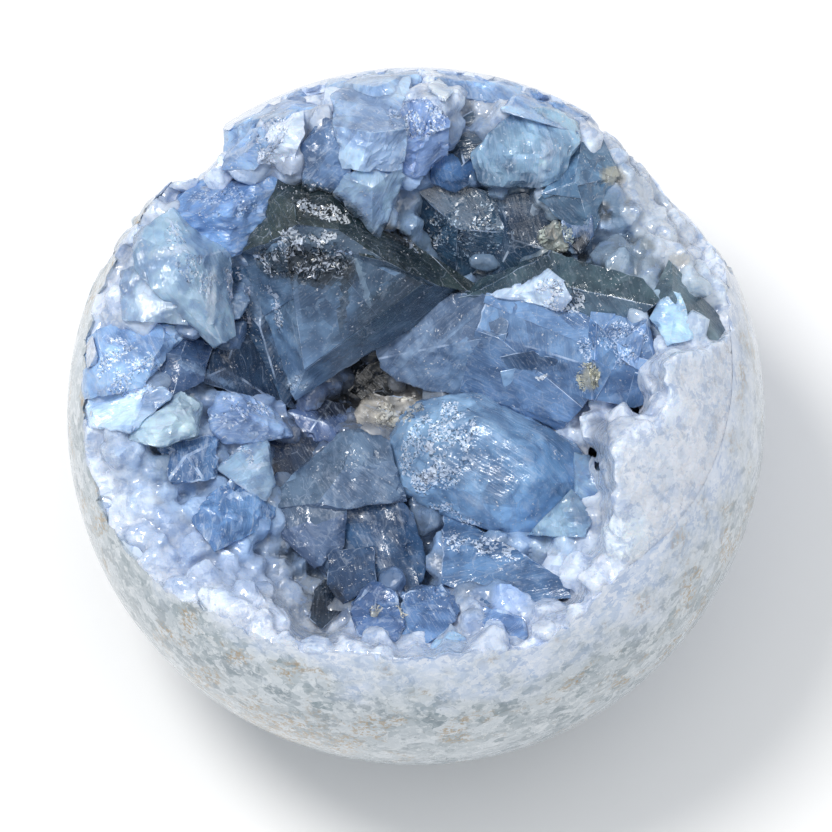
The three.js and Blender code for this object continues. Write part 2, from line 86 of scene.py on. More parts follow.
# The camera, its distance in metres, and how many pixels half the picture and half the ball take up
CAMERA_ELEVATION, CAMERA_DISTANCE, SENSOR_WIDTH = math.radians(72), 0.9, 36
PICTURE_HALF, BALL_HALF = 416, 350

# Half the floor's side, and where the lights are aimed, in metres
FLOOR_HALF, LIGHT_AIM = 3.0, (0, 0, 0.05)

# Where the ball's edge is broken away: direction in degrees, distance left from the middle
LEFT_BREAK = [(119, 46), (123, 45.2), (125.4, 42.2), (128, 41.2), (130, 40.8), (133, 41.3), (136, 43),
              (140, 43.5), (146, 43.9), (155, 44.3), (162, 45.3)]
RIGHT_BREAK = [(18, 45.6), (22, 44.9), (28, 44.1), (33, 43.4), (38, 42.9), (42, 42.6), (47, 43.3), (51, 43.5),
               (56, 43.7), (60, 44.6), (64, 45.5)]

# The hollow's edge on the polished face: direction in degrees, distance from the middle
RIM = [(-163, 41.8), (-145, 38.6), (-135, 35.4), (-124, 34.1), (-104, 30.7), (-89, 30.3), (-77, 30.2),
       (-62, 32.6), (-47, 32.5), (-36, 32), (-29, 30.5), (-25, 28.2), (-18, 25.5), (-10, 24.5), (-5, 28),
       (-1, 30.6), (5, 31.7), (12, 31), (15, 41.5), (30, 44.5), (58, 44.8), (66, 44.5), (75, 44.3),
       (90, 44.2), (105, 44.2), (118, 44), (130, 43.6), (160, 43.4), (175, 42.5)]

# Where the photo shows the ball's middle, in pixels, and how many pixels make a millimetre
PHOTO_MIDDLE, PHOTO_SCALE = (417, 416), 7.78

# How each kind of crystal is made: worn edge, chipping, triangle size, swelling faces, ragged outline, steps
Look = namedtuple("Look", "bevel chip edge swell ragged stepped")
LOOKS = {
    "dark": Look(0.14, 0.2, 0.95, 0.35, 0.5, True),
    "blue": Look(0.14, 0.2, 0.85, 0.4, 0.9, True),
    "clear": Look(0.25, 0.25, 0.75, 0.5, 0.3, False),
    "pale": Look(0.35, 0.4, 0.85, 0.7, 1.0, False),
    "rough": Look(0.2, 0.4, 0.6, 0.9, 0.9, False),
}
STEPPED = ("great_upper", "great_lower", "long_blue_left", "long_blue_middle", "long_blue_right",
           "right_face", "dark_upper_centre")

# A large crystal: its material, its colour, its corners, the colours of facets that lean one way (painted
# light and shade), the colour it fades to one way (painted light), and how many times its form is rounded off
Crystal = namedtuple("Crystal", "kind tint corners shades fade rounded", defaults=((), None, 0))

# A patch of tiny broken faces: its place, half sizes, turn in degrees, how rough, how many get painted
# glints, their colour
Patch = namedtuple("Patch", "x y long short turn rough share tint")

# A soft light or dark place in the crystals, the darkest of them painted shade in recesses, pits and holes:
# its place, half sizes, turn in degrees, strength and colour
ToneAndShade = namedtuple("ToneAndShade", "x y long short turn share tint")


def on_photo(*corners):
    """Corners noted on the photo, in pixels across and down, with their height in millimetres."""
    left, top = PHOTO_MIDDLE
    return tuple(((x - left) / PHOTO_SCALE, (top - y) / PHOTO_SCALE, z) for x, y, z in corners)


def patch_on_photo(x, y, long, short, *rest):
    """A patch noted on the photo in pixels."""
    (x, y, z), = on_photo((x, y, 0))
    return Patch(x, y, long / PHOTO_SCALE, short / PHOTO_SCALE, *rest)


def tone_and_shade_on_photo(x, y, long, short, *rest):
    """A soft light or dark place, the darkest of them painted shade, noted on the photo in pixels."""
    (x, y, z), = on_photo((x, y, 0))
    return ToneAndShade(x, y, long / PHOTO_SCALE, short / PHOTO_SCALE, *rest)


def spot_on_photo(x, y, across, up):
    """A stain's place and half sizes, noted on the photo in pixels."""
    (x, y, z), = on_photo((x, y, 0))
    return x, y, across / PHOTO_SCALE, up / PHOTO_SCALE


def sunk(x, y, z):
    """A corner lowered, the more the nearer it is to the hollow's middle."""
    return x, y, z - MIDDLE_SINK * max(0, 1 - (x * x + y * y) / SINK_RADIUS ** 2)


# The large crystals, with corners noted on the photo or in the view frame
CRYSTALS = {
    "great_dark_foot": Crystal("dark", (60, 85, 115), on_photo(
        (230, 262, 11), (262, 262, 13.5), (289, 346, 11.5), (297, 388, 9.5), (290, 400, 9), (243, 322, 10.5),
        (262, 330, 12.5),
    ), shades=((200, (70, 98, 130)),)),
    "long_blue_left": Crystal("blue", (98, 122, 154), on_photo(
        (380, 352, 9), (410, 328, 11), (437, 306, 14), (458, 295, 15), (490, 298, 17), (505, 325, 19),
        (497, 362, 16.5), (463, 395, 12.5), (430, 388, 11), (398, 379, 9), (383, 366, 8.5), (470, 340, 17.5),
        (430, 350, 14),
    ), shades=((135, (104, 124, 152)), (300, (100, 128, 162))), fade=(200, (120, 140, 170))),
    "long_blue_middle": Crystal("blue", (106, 136, 174), on_photo(
        (490, 298, 17.5), (547, 308, 20), (592, 316, 21.5), (597, 358, 20.5), (585, 398, 17),
        (560, 426, 14.5), (520, 414, 13.5), (463, 395, 12), (500, 362, 17), (532, 350, 20),
        (560, 345, 21),
    ), shades=((90, (100, 128, 165)), (270, (98, 128, 168)))),
    "long_blue_right": Crystal("blue", (120, 150, 190), on_photo(
        (590, 316, 21.5), (642, 322, 23), (644, 345, 23.5), (655, 380, 22), (664, 393, 20.5),
        (632, 406, 19.5), (600, 400, 19), (583, 396, 18), (592, 355, 21.5), (620, 345, 25),
        (612, 380, 23),
    ), shades=((60, (112, 140, 180)), (250, (105, 138, 180)))),
    "white_facet": Crystal("pale", (186, 202, 228), on_photo(
        (490, 297, 17.5), (520, 283, 19.5), (547, 272, 20.5), (562, 285, 22), (568, 300, 22),
        (560, 312, 21.5), (530, 305, 20.5), (540, 290, 21.8),
    )),
    "grey_ridge": Crystal("dark", (74, 96, 108), on_photo(
        (460, 290, 12.5), (484, 288, 16), (515, 272, 17.5), (545, 257, 18.5), (575, 264, 19),
        (600, 270, 19.5), (640, 286, 20.5), (652, 301, 21), (640, 313, 22), (600, 318, 21),
        (562, 312, 20.5), (562, 296, 22), (600, 292, 22.5), (545, 280, 20.5),
    ), shades=((90, (66, 88, 98)), (270, (92, 116, 138)))),
    "blue_lump": Crystal("blue", (112, 148, 188), on_photo(
        (392, 440, 13), (400, 425, 13.8), (415, 410, 14), (440, 400, 14), (470, 397, 14.2),
        (500, 403, 14.5), (525, 420, 15), (547, 433, 15), (578, 450, 15.5), (586, 470, 16),
        (578, 490, 16), (562, 510, 16), (536, 530, 15.8), (505, 534, 15.5), (470, 521, 15.5),
        (430, 506, 15), (408, 498, 14.5), (394, 480, 14), (389, 460, 13.5), (430, 430, 19),
        (465, 425, 20.5), (500, 430, 21), (535, 455, 21), (545, 485, 20), (510, 500, 20.5),
        (460, 490, 20), (425, 465, 19),
    ), shades=((135, (136, 168, 200)), (315, (108, 144, 184))), fade=(160, (138, 170, 204)), rounded=14),
    "lump_side": Crystal("clear", (150, 180, 215), on_photo(
        (572, 448, 16), (590, 455, 17), (601, 468, 18), (600, 488, 18.5), (590, 498, 18.5), (575, 502, 18),
        (580, 475, 20),
    ), rounded=2),
    "grey_wedge": Crystal("blue", (98, 118, 144), on_photo(
        (343, 432, 15), (362, 429, 15.5), (382, 436, 15.8), (392, 452, 16.5), (392, 478, 17),
        (398, 494, 17.5), (350, 507, 20.5), (310, 503, 20.5), (280, 508, 18), (282, 490, 16.5),
        (310, 462, 15.5), (345, 470, 20),
    ), shades=((120, (102, 122, 146)), (300, (84, 102, 130))), rounded=1),
    "grey_wedge_foot": Crystal("blue", (84, 102, 126), on_photo(
        (276, 508, 17), (275, 528, 17.5), (293, 541, 18.5), (301, 546, 18.5), (312, 558, 18.5),
        (318, 567, 18), (332, 552, 18.5), (345, 545, 18.5), (349, 507, 20), (310, 502, 20.5),
        (315, 525, 21),
    ), shades=((240, (92, 108, 138)), (300, (80, 98, 128))), rounded=1),
    "dark_lower": Crystal("blue", (60, 88, 122), (
        (-9.3, -12, 17.5), (-2.8, -10.4, 17), (-0.9, -11.8, 15.5), (0.3, -14.8, 15), (1.1, -19.6, 16.5),
        (0.4, -21.4, 17.5), (-2, -22.8, 18), (-6, -18, 18.5), (-9.5, -16.5, 17),
    )),
    "mid_blue_lower": Crystal("dark", (60, 88, 125), (
        (-11, -17.3, 18), (-5.4, -16.6, 19), (-4.9, -21.1, 20.5), (-9.2, -23.7, 21.5), (-11.2, -21.3, 20),
    )),
    "dark_chip": Crystal("dark", (38, 52, 68), (
        (-11.5, -20.6, 18), (-9.2, -22.2, 19), (-9.2, -24.4, 21), (-11.8, -26.8, 21.5), (-13.4, -25.4, 20),
        (-12.8, -22, 18.5),
    )),
    "bottom_left_blue": Crystal("pale", (85, 110, 150), (
        (-8.6, -24.3, 21.5), (-5.4, -21.1, 21), (-2.4, -22.4, 22), (-1.5, -26, 24.5), (-2.5, -29, 25),
        (-7.3, -27.5, 24),
    )),
    "bottom_middle_blue": Crystal("pale", (92, 120, 160), (
        (-2, -22.6, 21), (3.4, -21.1, 20.5), (5.5, -23.7, 22), (5.6, -25.6, 24), (1.7, -28.5, 26),
        (-1.6, -29, 25.5),
    )),
    "bottom_dome": Crystal("pale", (150, 180, 215), (
        (1.8, -28.6, 25.5), (4.2, -26.4, 24.5), (6.4, -28, 25.5), (6.6, -30, 27), (4.5, -32, 28.5),
        (1.7, -31, 28),
    ), rounded=6),
    "right_lower_blue": Crystal("blue", (92, 125, 165), (
        (3.6, -14, 16), (10.7, -17.4, 19.5), (14.5, -18.4, 20), (18.4, -22.4, 20), (13.2, -23.7, 21.5),
        (8.1, -23.2, 21.5), (3.6, -21.1, 19.5),
    )),
    "right_bottom_blue": Crystal("pale", (115, 145, 190), (
        (8.1, -23.7, 22.5), (13.5, -25.2, 24.5), (13.9, -27.8, 26.5), (11.3, -28.6, 27), (7.5, -25.8, 25),
    )),
    "lower_left_blue": Crystal("pale", (105, 140, 185), (
        (-28.3, -13.2, 20), (-27.2, -10.8, 19.5), (-24, -8.5, 18.5), (-21.5, -8.9, 18), (-17.6, -11.4, 17.5),
        (-18.2, -13.6, 19), (-22.1, -15.6, 21.5), (-25.4, -16.8, 22.5), (-23.5, -12.3, 22.5),
    ), rounded=1),
    "striated": Crystal("clear", (150, 175, 205), (
        (-25.1, -7, 17), (-22.8, -4.1, 15.5), (-19.9, -2.6, 15), (-18.9, -4.4, 16.5), (-18.3, -9.5, 18.5),
        (-19.2, -10.8, 19), (-21.5, -8.9, 19.5),
    )),
    "left_facet_blue": Crystal("pale", (90, 120, 160), (
        (-32.6, -4, 17), (-27.9, -2.9, 16), (-25.3, -3.1, 15.5), (-25.1, -7.2, 17.5), (-27.9, -8.2, 19),
        (-31.1, -8, 19), (-29, -5, 19.5),
    )),
    "pillow": Crystal("pale", (135, 160, 200), (
        (-26.5, 0.8, 15), (-25.9, 2.8, 14), (-22.8, 2.8, 12.5), (-19.9, 2.1, 12), (-17.4, -0.6, 12.5),
        (-16.6, -2.7, 13.5), (-21.4, -3.4, 16.5), (-24.7, -3.6, 17), (-26.1, -1.8, 17), (-22, 0, 17),
    ), rounded=5),
    "cream": Crystal("pale", (172, 192, 205), (
        (-36.1, -3.1, 20), (-35.9, -1.6, 19.5), (-32.4, 1.4, 18.5), (-29.5, 2.8, 17.5), (-27.7, 1.8, 17.5),
        (-27.9, -1.2, 19.5), (-28.5, -2.7, 20), (-32, -4.1, 21.5), (-35, -3.4, 21), (-31, -0.5, 21.8),
    ), rounded=2),
    "left_dark_blue": Crystal("dark", (62, 84, 120), (
        (-33.6, 4.6, 16), (-32.3, 8, 15.5), (-29.2, 10.5, 14), (-26, 8.9, 12.5), (-27, 4.4, 15.5),
        (-30.7, 2.6, 17), (-30, 7, 17.5),
    )),
    "centre_dark_blue": Crystal("dark", (52, 72, 98), (
        (-26, 8.9, 12.5), (-23.8, 11, 11), (-20, 10.2, 9.5), (-16.3, 2.8, 7.5), (-15.8, 1.2, 7.5),
        (-20.2, 2.3, 11.5), (-26.8, 4.4, 14.5), (-24.5, 6, 14.5),
    )),
    "left_rim_upper": Crystal("pale", (150, 182, 225), (
        (-42, 9.2, 14), (-40.7, 10.8, 14.5), (-36.9, 12.1, 15.5), (-31.1, 11.1, 15.5), (-29.2, 10.4, 14),
        (-31.5, 9.5, 17), (-33.2, 7.3, 18.5), (-33.8, 4.6, 18.5), (-39.2, 3, 20), (-42.5, 3, 15),
    )),
    "left_rim_lower": Crystal("pale", (175, 198, 230), (
        (-42.5, 3.5, 15), (-33.8, 4.6, 18), (-31.1, 3, 17.5), (-32.4, 1.2, 19), (-36, -1.5, 20.5),
        (-39, -1.6, 20.5), (-43, -0.5, 14),
    )),
    "clear_upper": Crystal("clear", (150, 175, 200), (
        (-35.7, 23.2, 16.5), (-34, 25, 15.5), (-31.6, 26, 15), (-27.9, 24, 14), (-26.2, 21.3, 15),
        (-24.8, 20.5, 15), (-23.6, 14.9, 15.5), (-24, 9.8, 17.5), (-25.1, 9.2, 17.5), (-27.9, 10.8, 17.5),
        (-29.2, 13.6, 19), (-32.4, 16.2, 20), (-35.6, 19.4, 18), (-29.4, 20, 20.5),
    )),
    "clear_lower": Crystal("clear", (165, 185, 210), (
        (-37.4, 18.5, 15.5), (-35.6, 18.9, 16.5), (-32.4, 16.2, 18), (-29.2, 13.6, 18.5), (-28.9, 11.6, 18),
        (-34.3, 12.3, 19), (-36.9, 12.1, 17.5), (-37.3, 14.9, 17.5),
    )),
    "upper_left_blue": Crystal("pale", (108, 140, 185), (
        (-30.7, 27, 10), (-27.9, 30, 10), (-22.8, 31, 12.5), (-17.6, 30.1, 14.5), (-17.9, 27.8, 15),
        (-19.9, 23.9, 15), (-21.7, 21.3, 14), (-24.5, 19.8, 13.5), (-26.6, 22.9, 14.5), (-30.5, 24.9, 14),
        (-24, 26.5, 18.5),
    ), rounded=5),
    "top_left_blue": Crystal("pale", (150, 178, 218), (
        (-24.6, 36, 10), (-19.9, 37.5, 14.5), (-18, 34, 20), (-20.5, 31, 17.5), (-24.5, 31.2, 16),
        (-21, 34.5, 19),
    )),
    "top_sugar": Crystal("pale", (200, 212, 235), (
        (-20, 38, 13), (-15, 38.4, 17.5), (-14.6, 34, 22), (-16, 30.5, 18), (-20, 32, 19), (-17, 34.5, 22.5),
    )),
    "top_mid_dark": Crystal("pale", (95, 120, 155), (
        (-14.6, 34, 19.5), (-12, 37.6, 20), (-8.3, 37, 21), (-8, 31, 19.5), (-9.5, 27.6, 17.5),
        (-14, 28.8, 17.5), (-11, 33, 21.5),
    ), rounded=5),
    "top_pale": Crystal("pale", (165, 190, 225), (
        (-9.9, 41, 15.5), (-6, 43.4, 10), (-2.2, 43, 12.8), (-1.6, 36, 22), (-3, 31, 20.2),
        (-8.6, 31.2, 20.5), (-9.9, 36, 22), (-5.5, 36, 24),
    )),
    "top_point": Crystal("clear", (150, 175, 205), (
        (-8.6, 30.6, 20), (-2.2, 31.4, 19.5), (-1.5, 30.3, 18.5), (-3.2, 25.9, 18), (-4.5, 23, 18.5),
        (-8, 25.8, 19.5), (-9.9, 28.8, 19), (-5.6, 28.6, 21.5),
    )),
    "top_sparkle": Crystal("pale", (130, 155, 200), (
        (-2.6, 34, 20), (-1.5, 39.5, 20), (2, 40, 19.5), (4.2, 37, 20), (4, 33, 17), (1, 30.5, 16.5),
        (-1.5, 30.5, 18), (0.8, 35.5, 22),
    )),
    "top_striped_chip": Crystal("pale", (200, 210, 225), (
        (1.6, 42.2, 15.3), (3.2, 43, 12.7), (4.8, 41.2, 17.3), (3.8, 39.8, 20.3), (2.4, 41, 18.2),
    )),
    "pale_lump": Crystal("pale", (142, 172, 198), (
        (7, 32.5, 15.5), (9.4, 36, 19), (13.2, 38.7, 17.5), (18, 39, 13), (20.6, 37, 14), (20.8, 34.4, 16),
        (18.6, 30.4, 16.5), (15.8, 28.8, 17), (11.3, 29, 17), (8.7, 29, 16.5), (7.4, 30.4, 16),
        (12.5, 33, 20.5), (17, 34, 19.5),
    ), rounded=8),
    "right_face": Crystal("blue", (92, 122, 150), (
        (20.9, 34.4, 13.5), (23.5, 35.4, 11), (25, 32.3, 11.5), (25.8, 30.3, 12), (23.5, 25.8, 14),
        (22.5, 23.3, 14.5), (18.4, 25.8, 16), (16.5, 28.6, 16.5), (20.3, 29.5, 18),
    )),
    "top_right_blue": Crystal("pale", (125, 155, 195), (
        (10.5, 38.5, 19.5), (13, 41, 13), (18.8, 40, 8.3), (22, 38.6, 7), (20.6, 35.8, 15), (15, 37.5, 18.5),
    )),
    "dark_peak": Crystal("dark", (60, 78, 98), (
        (3.6, 33, 13), (5.2, 37.5, 13), (8, 39.2, 12), (9.4, 38, 12.5), (8.4, 34, 14.5), (5.5, 31.5, 14.5),
    )),
    "blue_under_peak": Crystal("blue", (85, 120, 165), (
        (1.7, 31.6, 14), (3, 34, 13), (7.2, 33, 13.5), (7.6, 29.8, 14), (5, 28.4, 14), (2, 29.5, 14.5),
        (4.6, 31, 16.5),
    )),
    "dark_upper_centre": Crystal("dark", (52, 78, 102), (
        (-1.5, 29, 12), (1, 30.8, 11.5), (5, 28.6, 12), (10.7, 27.8, 12.5), (11, 22, 13), (5, 16.5, 10),
        (1.5, 21, 10), (5.5, 24, 14.5),
    )),
    "dark_upper_right": Crystal("dark", (48, 72, 98), (
        (9.5, 27.5, 12.5), (14, 28.2, 13), (17.5, 24.5, 13), (18.4, 20.5, 13.5), (16, 17.5, 12.5),
        (9, 17, 11), (12.5, 22.5, 14.5),
    )),
    "small_blue_point": Crystal("blue", (85, 115, 155), (
        (18.4, 26.4, 15), (22.2, 25.6, 15), (22.6, 22.8, 15.5), (20.9, 20.3, 16), (18.8, 22.4, 16.5),
    )),
    "centre_rough": Crystal("rough", (160, 155, 150), (
        (-7.8, 0.4, 7.5), (-6.2, 2.6, 6), (-1.5, 2.4, 7.5), (1.4, 1.4, 9), (0.8, -0.6, 9.5),
        (-3.2, -2.2, 9.5), (-7.2, -1.6, 9), (-2.8, 0.4, 10.5),
    )),
    "centre_left_blade": Crystal("blue", (90, 110, 150), (
        (-17.4, -0.6, 9), (-14.8, 2.4, 7), (-9.2, 1.6, 7), (-7.8, -1.5, 8.5), (-10.8, -4.6, 10),
        (-16.4, -3, 10), (-12.6, -0.6, 10.5),
    )),
    "gap_floor": Crystal("dark", (45, 60, 85), (
        (-19, -3, 11), (-15.4, -3.4, 9.5), (-11.2, -2.4, 9.5), (-13, -5.8, 11), (-17.2, -9, 13),
        (-18.6, -6.8, 12.5),
    )),
    # A near-black block in the deep hole at the middle: painted shade
    "centre_dark": Crystal("dark", (30, 32, 34), (
        (-7.4, 8.4, 4), (-4.8, 9.2, 5), (-3.2, 6.4, 4), (-1.8, 3, 5), (-5.6, 1.6, 4.5), (-9, 3.4, 5),
    )),
    "tan_rough": Crystal("rough", (140, 145, 140), (
        (15.2, 22.6, 14.5), (17.7, 24.8, 15), (19.7, 23.3, 15.5), (19.4, 20.7, 16), (16.5, 20.7, 15.5),
    )),
    "green_ridge": Crystal("dark", (108, 128, 138), (
        (29.7, 14.9, 20), (31.9, 19, 18), (36.4, 14.9, 17), (40.6, 9.8, 14.5), (38.6, 8.7, 18.5),
        (33.2, 10.8, 22), (32.4, 15.5, 22),
    )),
    "pale_point": Crystal("pale", (165, 195, 225), (
        (29.3, 12.3, 21.5), (31.6, 15.8, 21.5), (33.2, 15.4, 22), (35.1, 9.8, 22), (31.5, 9, 24),
    )),
    "great_upper": Crystal("dark", (66, 84, 92), on_photo(
        (283, 185, 15), (300, 186, 16), (314, 192, 17), (357, 217, 17), (400, 244, 16.5), (437, 262, 15.5),
        (459, 289, 14.5), (430, 282, 18), (372, 255, 21), (345, 236, 21.5), (300, 226, 21), (275, 242, 19),
        (250, 254, 14.5), (262, 228, 15.5),
    ), shades=((100, (50, 62, 62)), (290, (92, 112, 135)), (190, (70, 84, 84)))),
    "great_lower": Crystal("dark", (88, 114, 146), on_photo(
        (250, 254, 13), (275, 250, 17), (345, 243, 19), (372, 260, 19.5), (457, 291, 13.5), (450, 301, 12.5),
        (380, 345, 11.5), (300, 393, 12), (284, 355, 12.5), (270, 300, 14), (360, 276, 20), (352, 340, 16.5),
        (290, 300, 17.5),
    ), shades=((235, (98, 128, 162)), (320, (52, 72, 86)), (95, (44, 56, 64)), (180, (110, 130, 150))),
        fade=(262, (128, 158, 192))),
    "ledge": Crystal("blue", (78, 102, 134), on_photo(
        (500, 358, 18.5), (532, 352, 21), (575, 366, 20.5), (548, 380, 18), (515, 376, 17.5),
    )),
    "ledge_box": Crystal("blue", (135, 165, 198), on_photo(
        (500, 372, 18), (520, 368, 18.5), (525, 376, 18), (514, 394, 16), (504, 389, 16.5),
    )),
    "top_band_left": Crystal("pale", (136, 163, 202), on_photo(
        (226, 130, 10), (262, 104, 4), (300, 90, 7), (322, 112, 15), (300, 140, 18), (262, 150, 16),
        (235, 150, 11), (285, 118, 18),
    ), rounded=2),
    "top_band_middle": Crystal("pale", (152, 177, 212), on_photo(
        (332, 74, 4), (372, 64, 3), (408, 64, 4), (424, 84, 11), (404, 112, 16), (352, 112, 15),
        (330, 95, 11), (378, 88, 16),
    ), rounded=2),
    "top_band_right": Crystal("pale", (134, 161, 198), on_photo(
        (436, 66, 5), (480, 66, 2), (520, 76, 2), (546, 92, 4), (528, 112, 11), (478, 104, 13), (440, 96, 13),
        (490, 88, 12),
    ), rounded=2),
    "prism": Crystal("clear", (150, 176, 200), on_photo(
        (534, 531, 19), (560, 500, 20.5), (572, 491, 20), (590, 514, 21), (583, 532, 21), (560, 536, 21),
        (563, 516, 22.5),
    )),
}

# Every corner is lowered toward the hollow's middle
CRYSTALS = {name: crystal._replace(corners=tuple(sunk(*corner) for corner in crystal.corners))
            for name, crystal in CRYSTALS.items()}

# The glinting patches, noted on the photo
PATCHES = [patch_on_photo(*row) for row in (
    (325, 214, 32, 9, -18, 0.16, 0.6, (235, 238, 246)), (306, 239, 34, 8, 0, 0.2, 0.7, (232, 236, 246)),
    (310, 262, 52, 20, -6, 0.34, 0.22, (205, 210, 225)), (276, 300, 36, 6, -78, 0.12, 0.45, (215, 222, 238)),
    (300, 384, 12, 9, 30, 0.1, 0.4, (215, 225, 240)), (440, 448, 50, 36, 60, 0.13, 0.42, (226, 234, 248)),
    (428, 472, 11, 12, 0, 0.06, 0.9, (226, 232, 244)), (433, 447, 10, 7, 0, 0.06, 0.9, (232, 236, 246)),
    (558, 298, 28, 15, -20, 0.16, 0.55, (232, 236, 246)), (586, 378, 12, 16, 0, 0.16, 0.7, (205, 198, 170)),
    (472, 542, 28, 11, -5, 0.16, 0.5, (228, 234, 247)), (515, 546, 15, 12, 0, 0.1, 0.9, (228, 234, 246)),
    (243, 295, 36, 11, -72, 0.16, 0.5, (214, 214, 228)), (398, 412, 28, 13, 15, 0.22, 0.6, (208, 202, 190)),
    (556, 240, 18, 16, 0, 0.2, 0.6, (190, 196, 186)), (402, 602, 9, 13, 0, 0.14, 0.6, (214, 206, 184)),
    (378, 607, 8, 8, 0, 0.14, 0.6, (210, 202, 184)), (425, 238, 20, 18, 40, 0.16, 0.35, (205, 212, 226)),
    (455, 512, 30, 9, -20, 0.1, 0.35, (212, 222, 240)), (240, 458, 18, 12, 10, 0.12, 0.5, (222, 228, 242)),
    (420, 120, 30, 26, 0, 0.14, 0.35, (224, 232, 247)), (278, 150, 18, 30, 0, 0.16, 0.4, (230, 235, 247)),
    (195, 262, 40, 16, -60, 0.1, 0.25, (220, 227, 240)), (240, 412, 34, 16, 0, 0.12, 0.3, (220, 229, 247)),
    (610, 345, 36, 24, 0, 0.08, 0.22, (210, 220, 240)),
    (470, 232, 46, 30, 0, 0.08, 0.14, (180, 198, 218)), (135, 372, 34, 26, 0, 0.1, 0.3, (225, 233, 246)),
    (540, 376, 7, 6, 20, 0.05, 0.95, (240, 243, 250)), (225, 205, 40, 18, 0, 0.08, 0.2, (196, 212, 238)),
)]

# The soft light and dark places, noted on the photo
# The darkest of these, in recesses, pits, holes and cracks, are painted shade
TONES_AND_SHADE = [tone_and_shade_on_photo(*row) for row in (
    (330, 212, 62, 20, -28, 0.9, (32, 46, 52)), (402, 260, 52, 16, -35, 0.8, (30, 44, 52)),
    (310, 268, 56, 22, -8, 0.85, (26, 32, 36)), (388, 308, 70, 20, 34, 0.65, (42, 60, 76)),
    (284, 342, 46, 14, -72, 0.6, (118, 152, 190)), (302, 383, 17, 12, 0, 0.75, (172, 196, 222)),
    (332, 322, 32, 34, 0, 0.4, (78, 104, 136)), (346, 302, 40, 5, 84, 0.6, (28, 38, 46)),
    (256, 302, 34, 6, -70, 0.5, (150, 172, 200)), (365, 285, 30, 4, -75, 0.6, (150, 172, 192)),
    (182, 285, 40, 54, 0, 0.45, (176, 199, 224)), (152, 302, 28, 8, -80, 0.6, (216, 227, 242)),
    (216, 300, 36, 6, 86, 0.7, (220, 230, 244)), (178, 254, 26, 7, 10, 0.6, (220, 230, 245)),
    (190, 286, 10, 14, 0, 0.5, (104, 130, 158)), (126, 258, 18, 12, 60, 0.7, (66, 92, 132)),
    (165, 358, 48, 24, 0, 0.35, (108, 136, 174)), (205, 372, 40, 5, -25, 0.5, (150, 176, 208)),
    (426, 440, 34, 30, 0, 0.35, (150, 182, 210)), (528, 466, 46, 44, 0, 0.7, (96, 132, 170)),
    (488, 520, 66, 12, -10, 0.4, (122, 156, 194)), (540, 366, 36, 7, -5, 0.7, (60, 82, 114)),
    (412, 352, 40, 5, 45, 0.5, (150, 174, 204)), (450, 335, 44, 4, 42, 0.5, (150, 174, 204)),
    (482, 345, 40, 4, 40, 0.4, (84, 108, 140)), (560, 268, 60, 9, -5, 0.6, (58, 80, 94)),
    (330, 600, 18, 22, 0, 0.85, (26, 38, 54)), (345, 560, 20, 28, 0, 0.5, (46, 66, 96)),
    (500, 195, 50, 30, 0, 0.4, (44, 68, 90)), (580, 248, 10, 22, 0, 0.9, (16, 18, 20)),
    (345, 402, 40, 14, 20, 0.85, (26, 26, 28)), (588, 378, 10, 14, 0, 0.7, (190, 180, 150)),
    (540, 178, 44, 5, 80, 0.6, (196, 212, 230)), (300, 300, 26, 4, -84, 0.5, (140, 166, 196)),
    (330, 452, 50, 10, 35, 0.35, (84, 104, 130)), (255, 466, 26, 3, 12, 0.5, (196, 212, 234)),
    (252, 480, 26, 3, 12, 0.5, (104, 130, 164)), (250, 492, 24, 3, 12, 0.5, (190, 208, 232)),
    (398, 238, 24, 9, -30, 0.9, (24, 24, 24)), (594, 440, 14, 32, 0, 0.6, (58, 78, 108)),
    (530, 236, 30, 20, 0, 0.6, (40, 56, 74)), (372, 548, 20, 30, 0, 0.6, (56, 82, 116)),
    (178, 548, 62, 34, -50, 0.7, (138, 163, 202)), (140, 470, 44, 22, -80, 0.6, (146, 172, 208)),
    (248, 572, 34, 30, 0, 0.6, (140, 166, 206)), (655, 212, 60, 34, -50, 0.5, (204, 209, 214)),
    (612, 178, 16, 12, 0, 0.7, (172, 166, 148)), (604, 214, 8, 13, 0, 0.8, (66, 70, 74)),
    (640, 246, 14, 8, -30, 0.7, (96, 104, 108)), (676, 262, 12, 8, 0, 0.6, (176, 168, 150)),
    (628, 206, 8, 6, 0, 0.7, (84, 90, 94)),
)]

# The brown stains on the rind, noted on the photo
RUST_SPOTS = [spot_on_photo(*spot) for spot in (
    (275, 728, 64, 26), (345, 740, 26, 14), (454, 727, 18, 10), (207, 674, 24, 14), (244, 651, 16, 10),
    (106, 523, 10, 16), (635, 600, 16, 12), (684, 587, 10, 24), (722, 545, 8, 26),
)]


# Colours and vectors

def linear(tint):
    """A display colour of 0 to 255 as linear light."""
    values = np.asarray(tint, dtype=float) / 255
    return np.where(values <= 0.04045, values / 12.92, ((values + 0.055) / 1.055) ** 2.4)


def to_world(points):
    """View frame in millimetres to the row frame in metres."""
    points = np.asarray(points, dtype=float)
    cos, sin = math.cos(HOLLOW_TILT), math.sin(HOLLOW_TILT)
    x, y, z = points.T
    return np.stack([x, y * cos - z * sin, y * sin + z * cos + BALL_CENTRE_HEIGHT], axis=1) * MM


def to_view(points):
    """Row frame in metres back to the view frame in millimetres."""
    cos, sin = math.cos(HOLLOW_TILT), math.sin(HOLLOW_TILT)
    x, y, z = (np.asarray(points) / MM - (0, 0, BALL_CENTRE_HEIGHT)).T
    return np.stack([x, y * cos + z * sin, -y * sin + z * cos], axis=1)


def edge_limit(angle):
    """How far out the broken edge lets a crystal reach, for each direction in degrees."""
    angle = np.asarray(angle, dtype=float)
    limit = np.full(angle.shape, 46.0)
    for edge in (LEFT_BREAK, RIGHT_BREAK):
        angles, radii = [a for a, r in edge], [r for a, r in edge]
        inside = (angle > angles[0]) & (angle < angles[-1])
        limit = np.where(inside, np.interp(angle, angles, radii), limit)
    return limit - 0.1


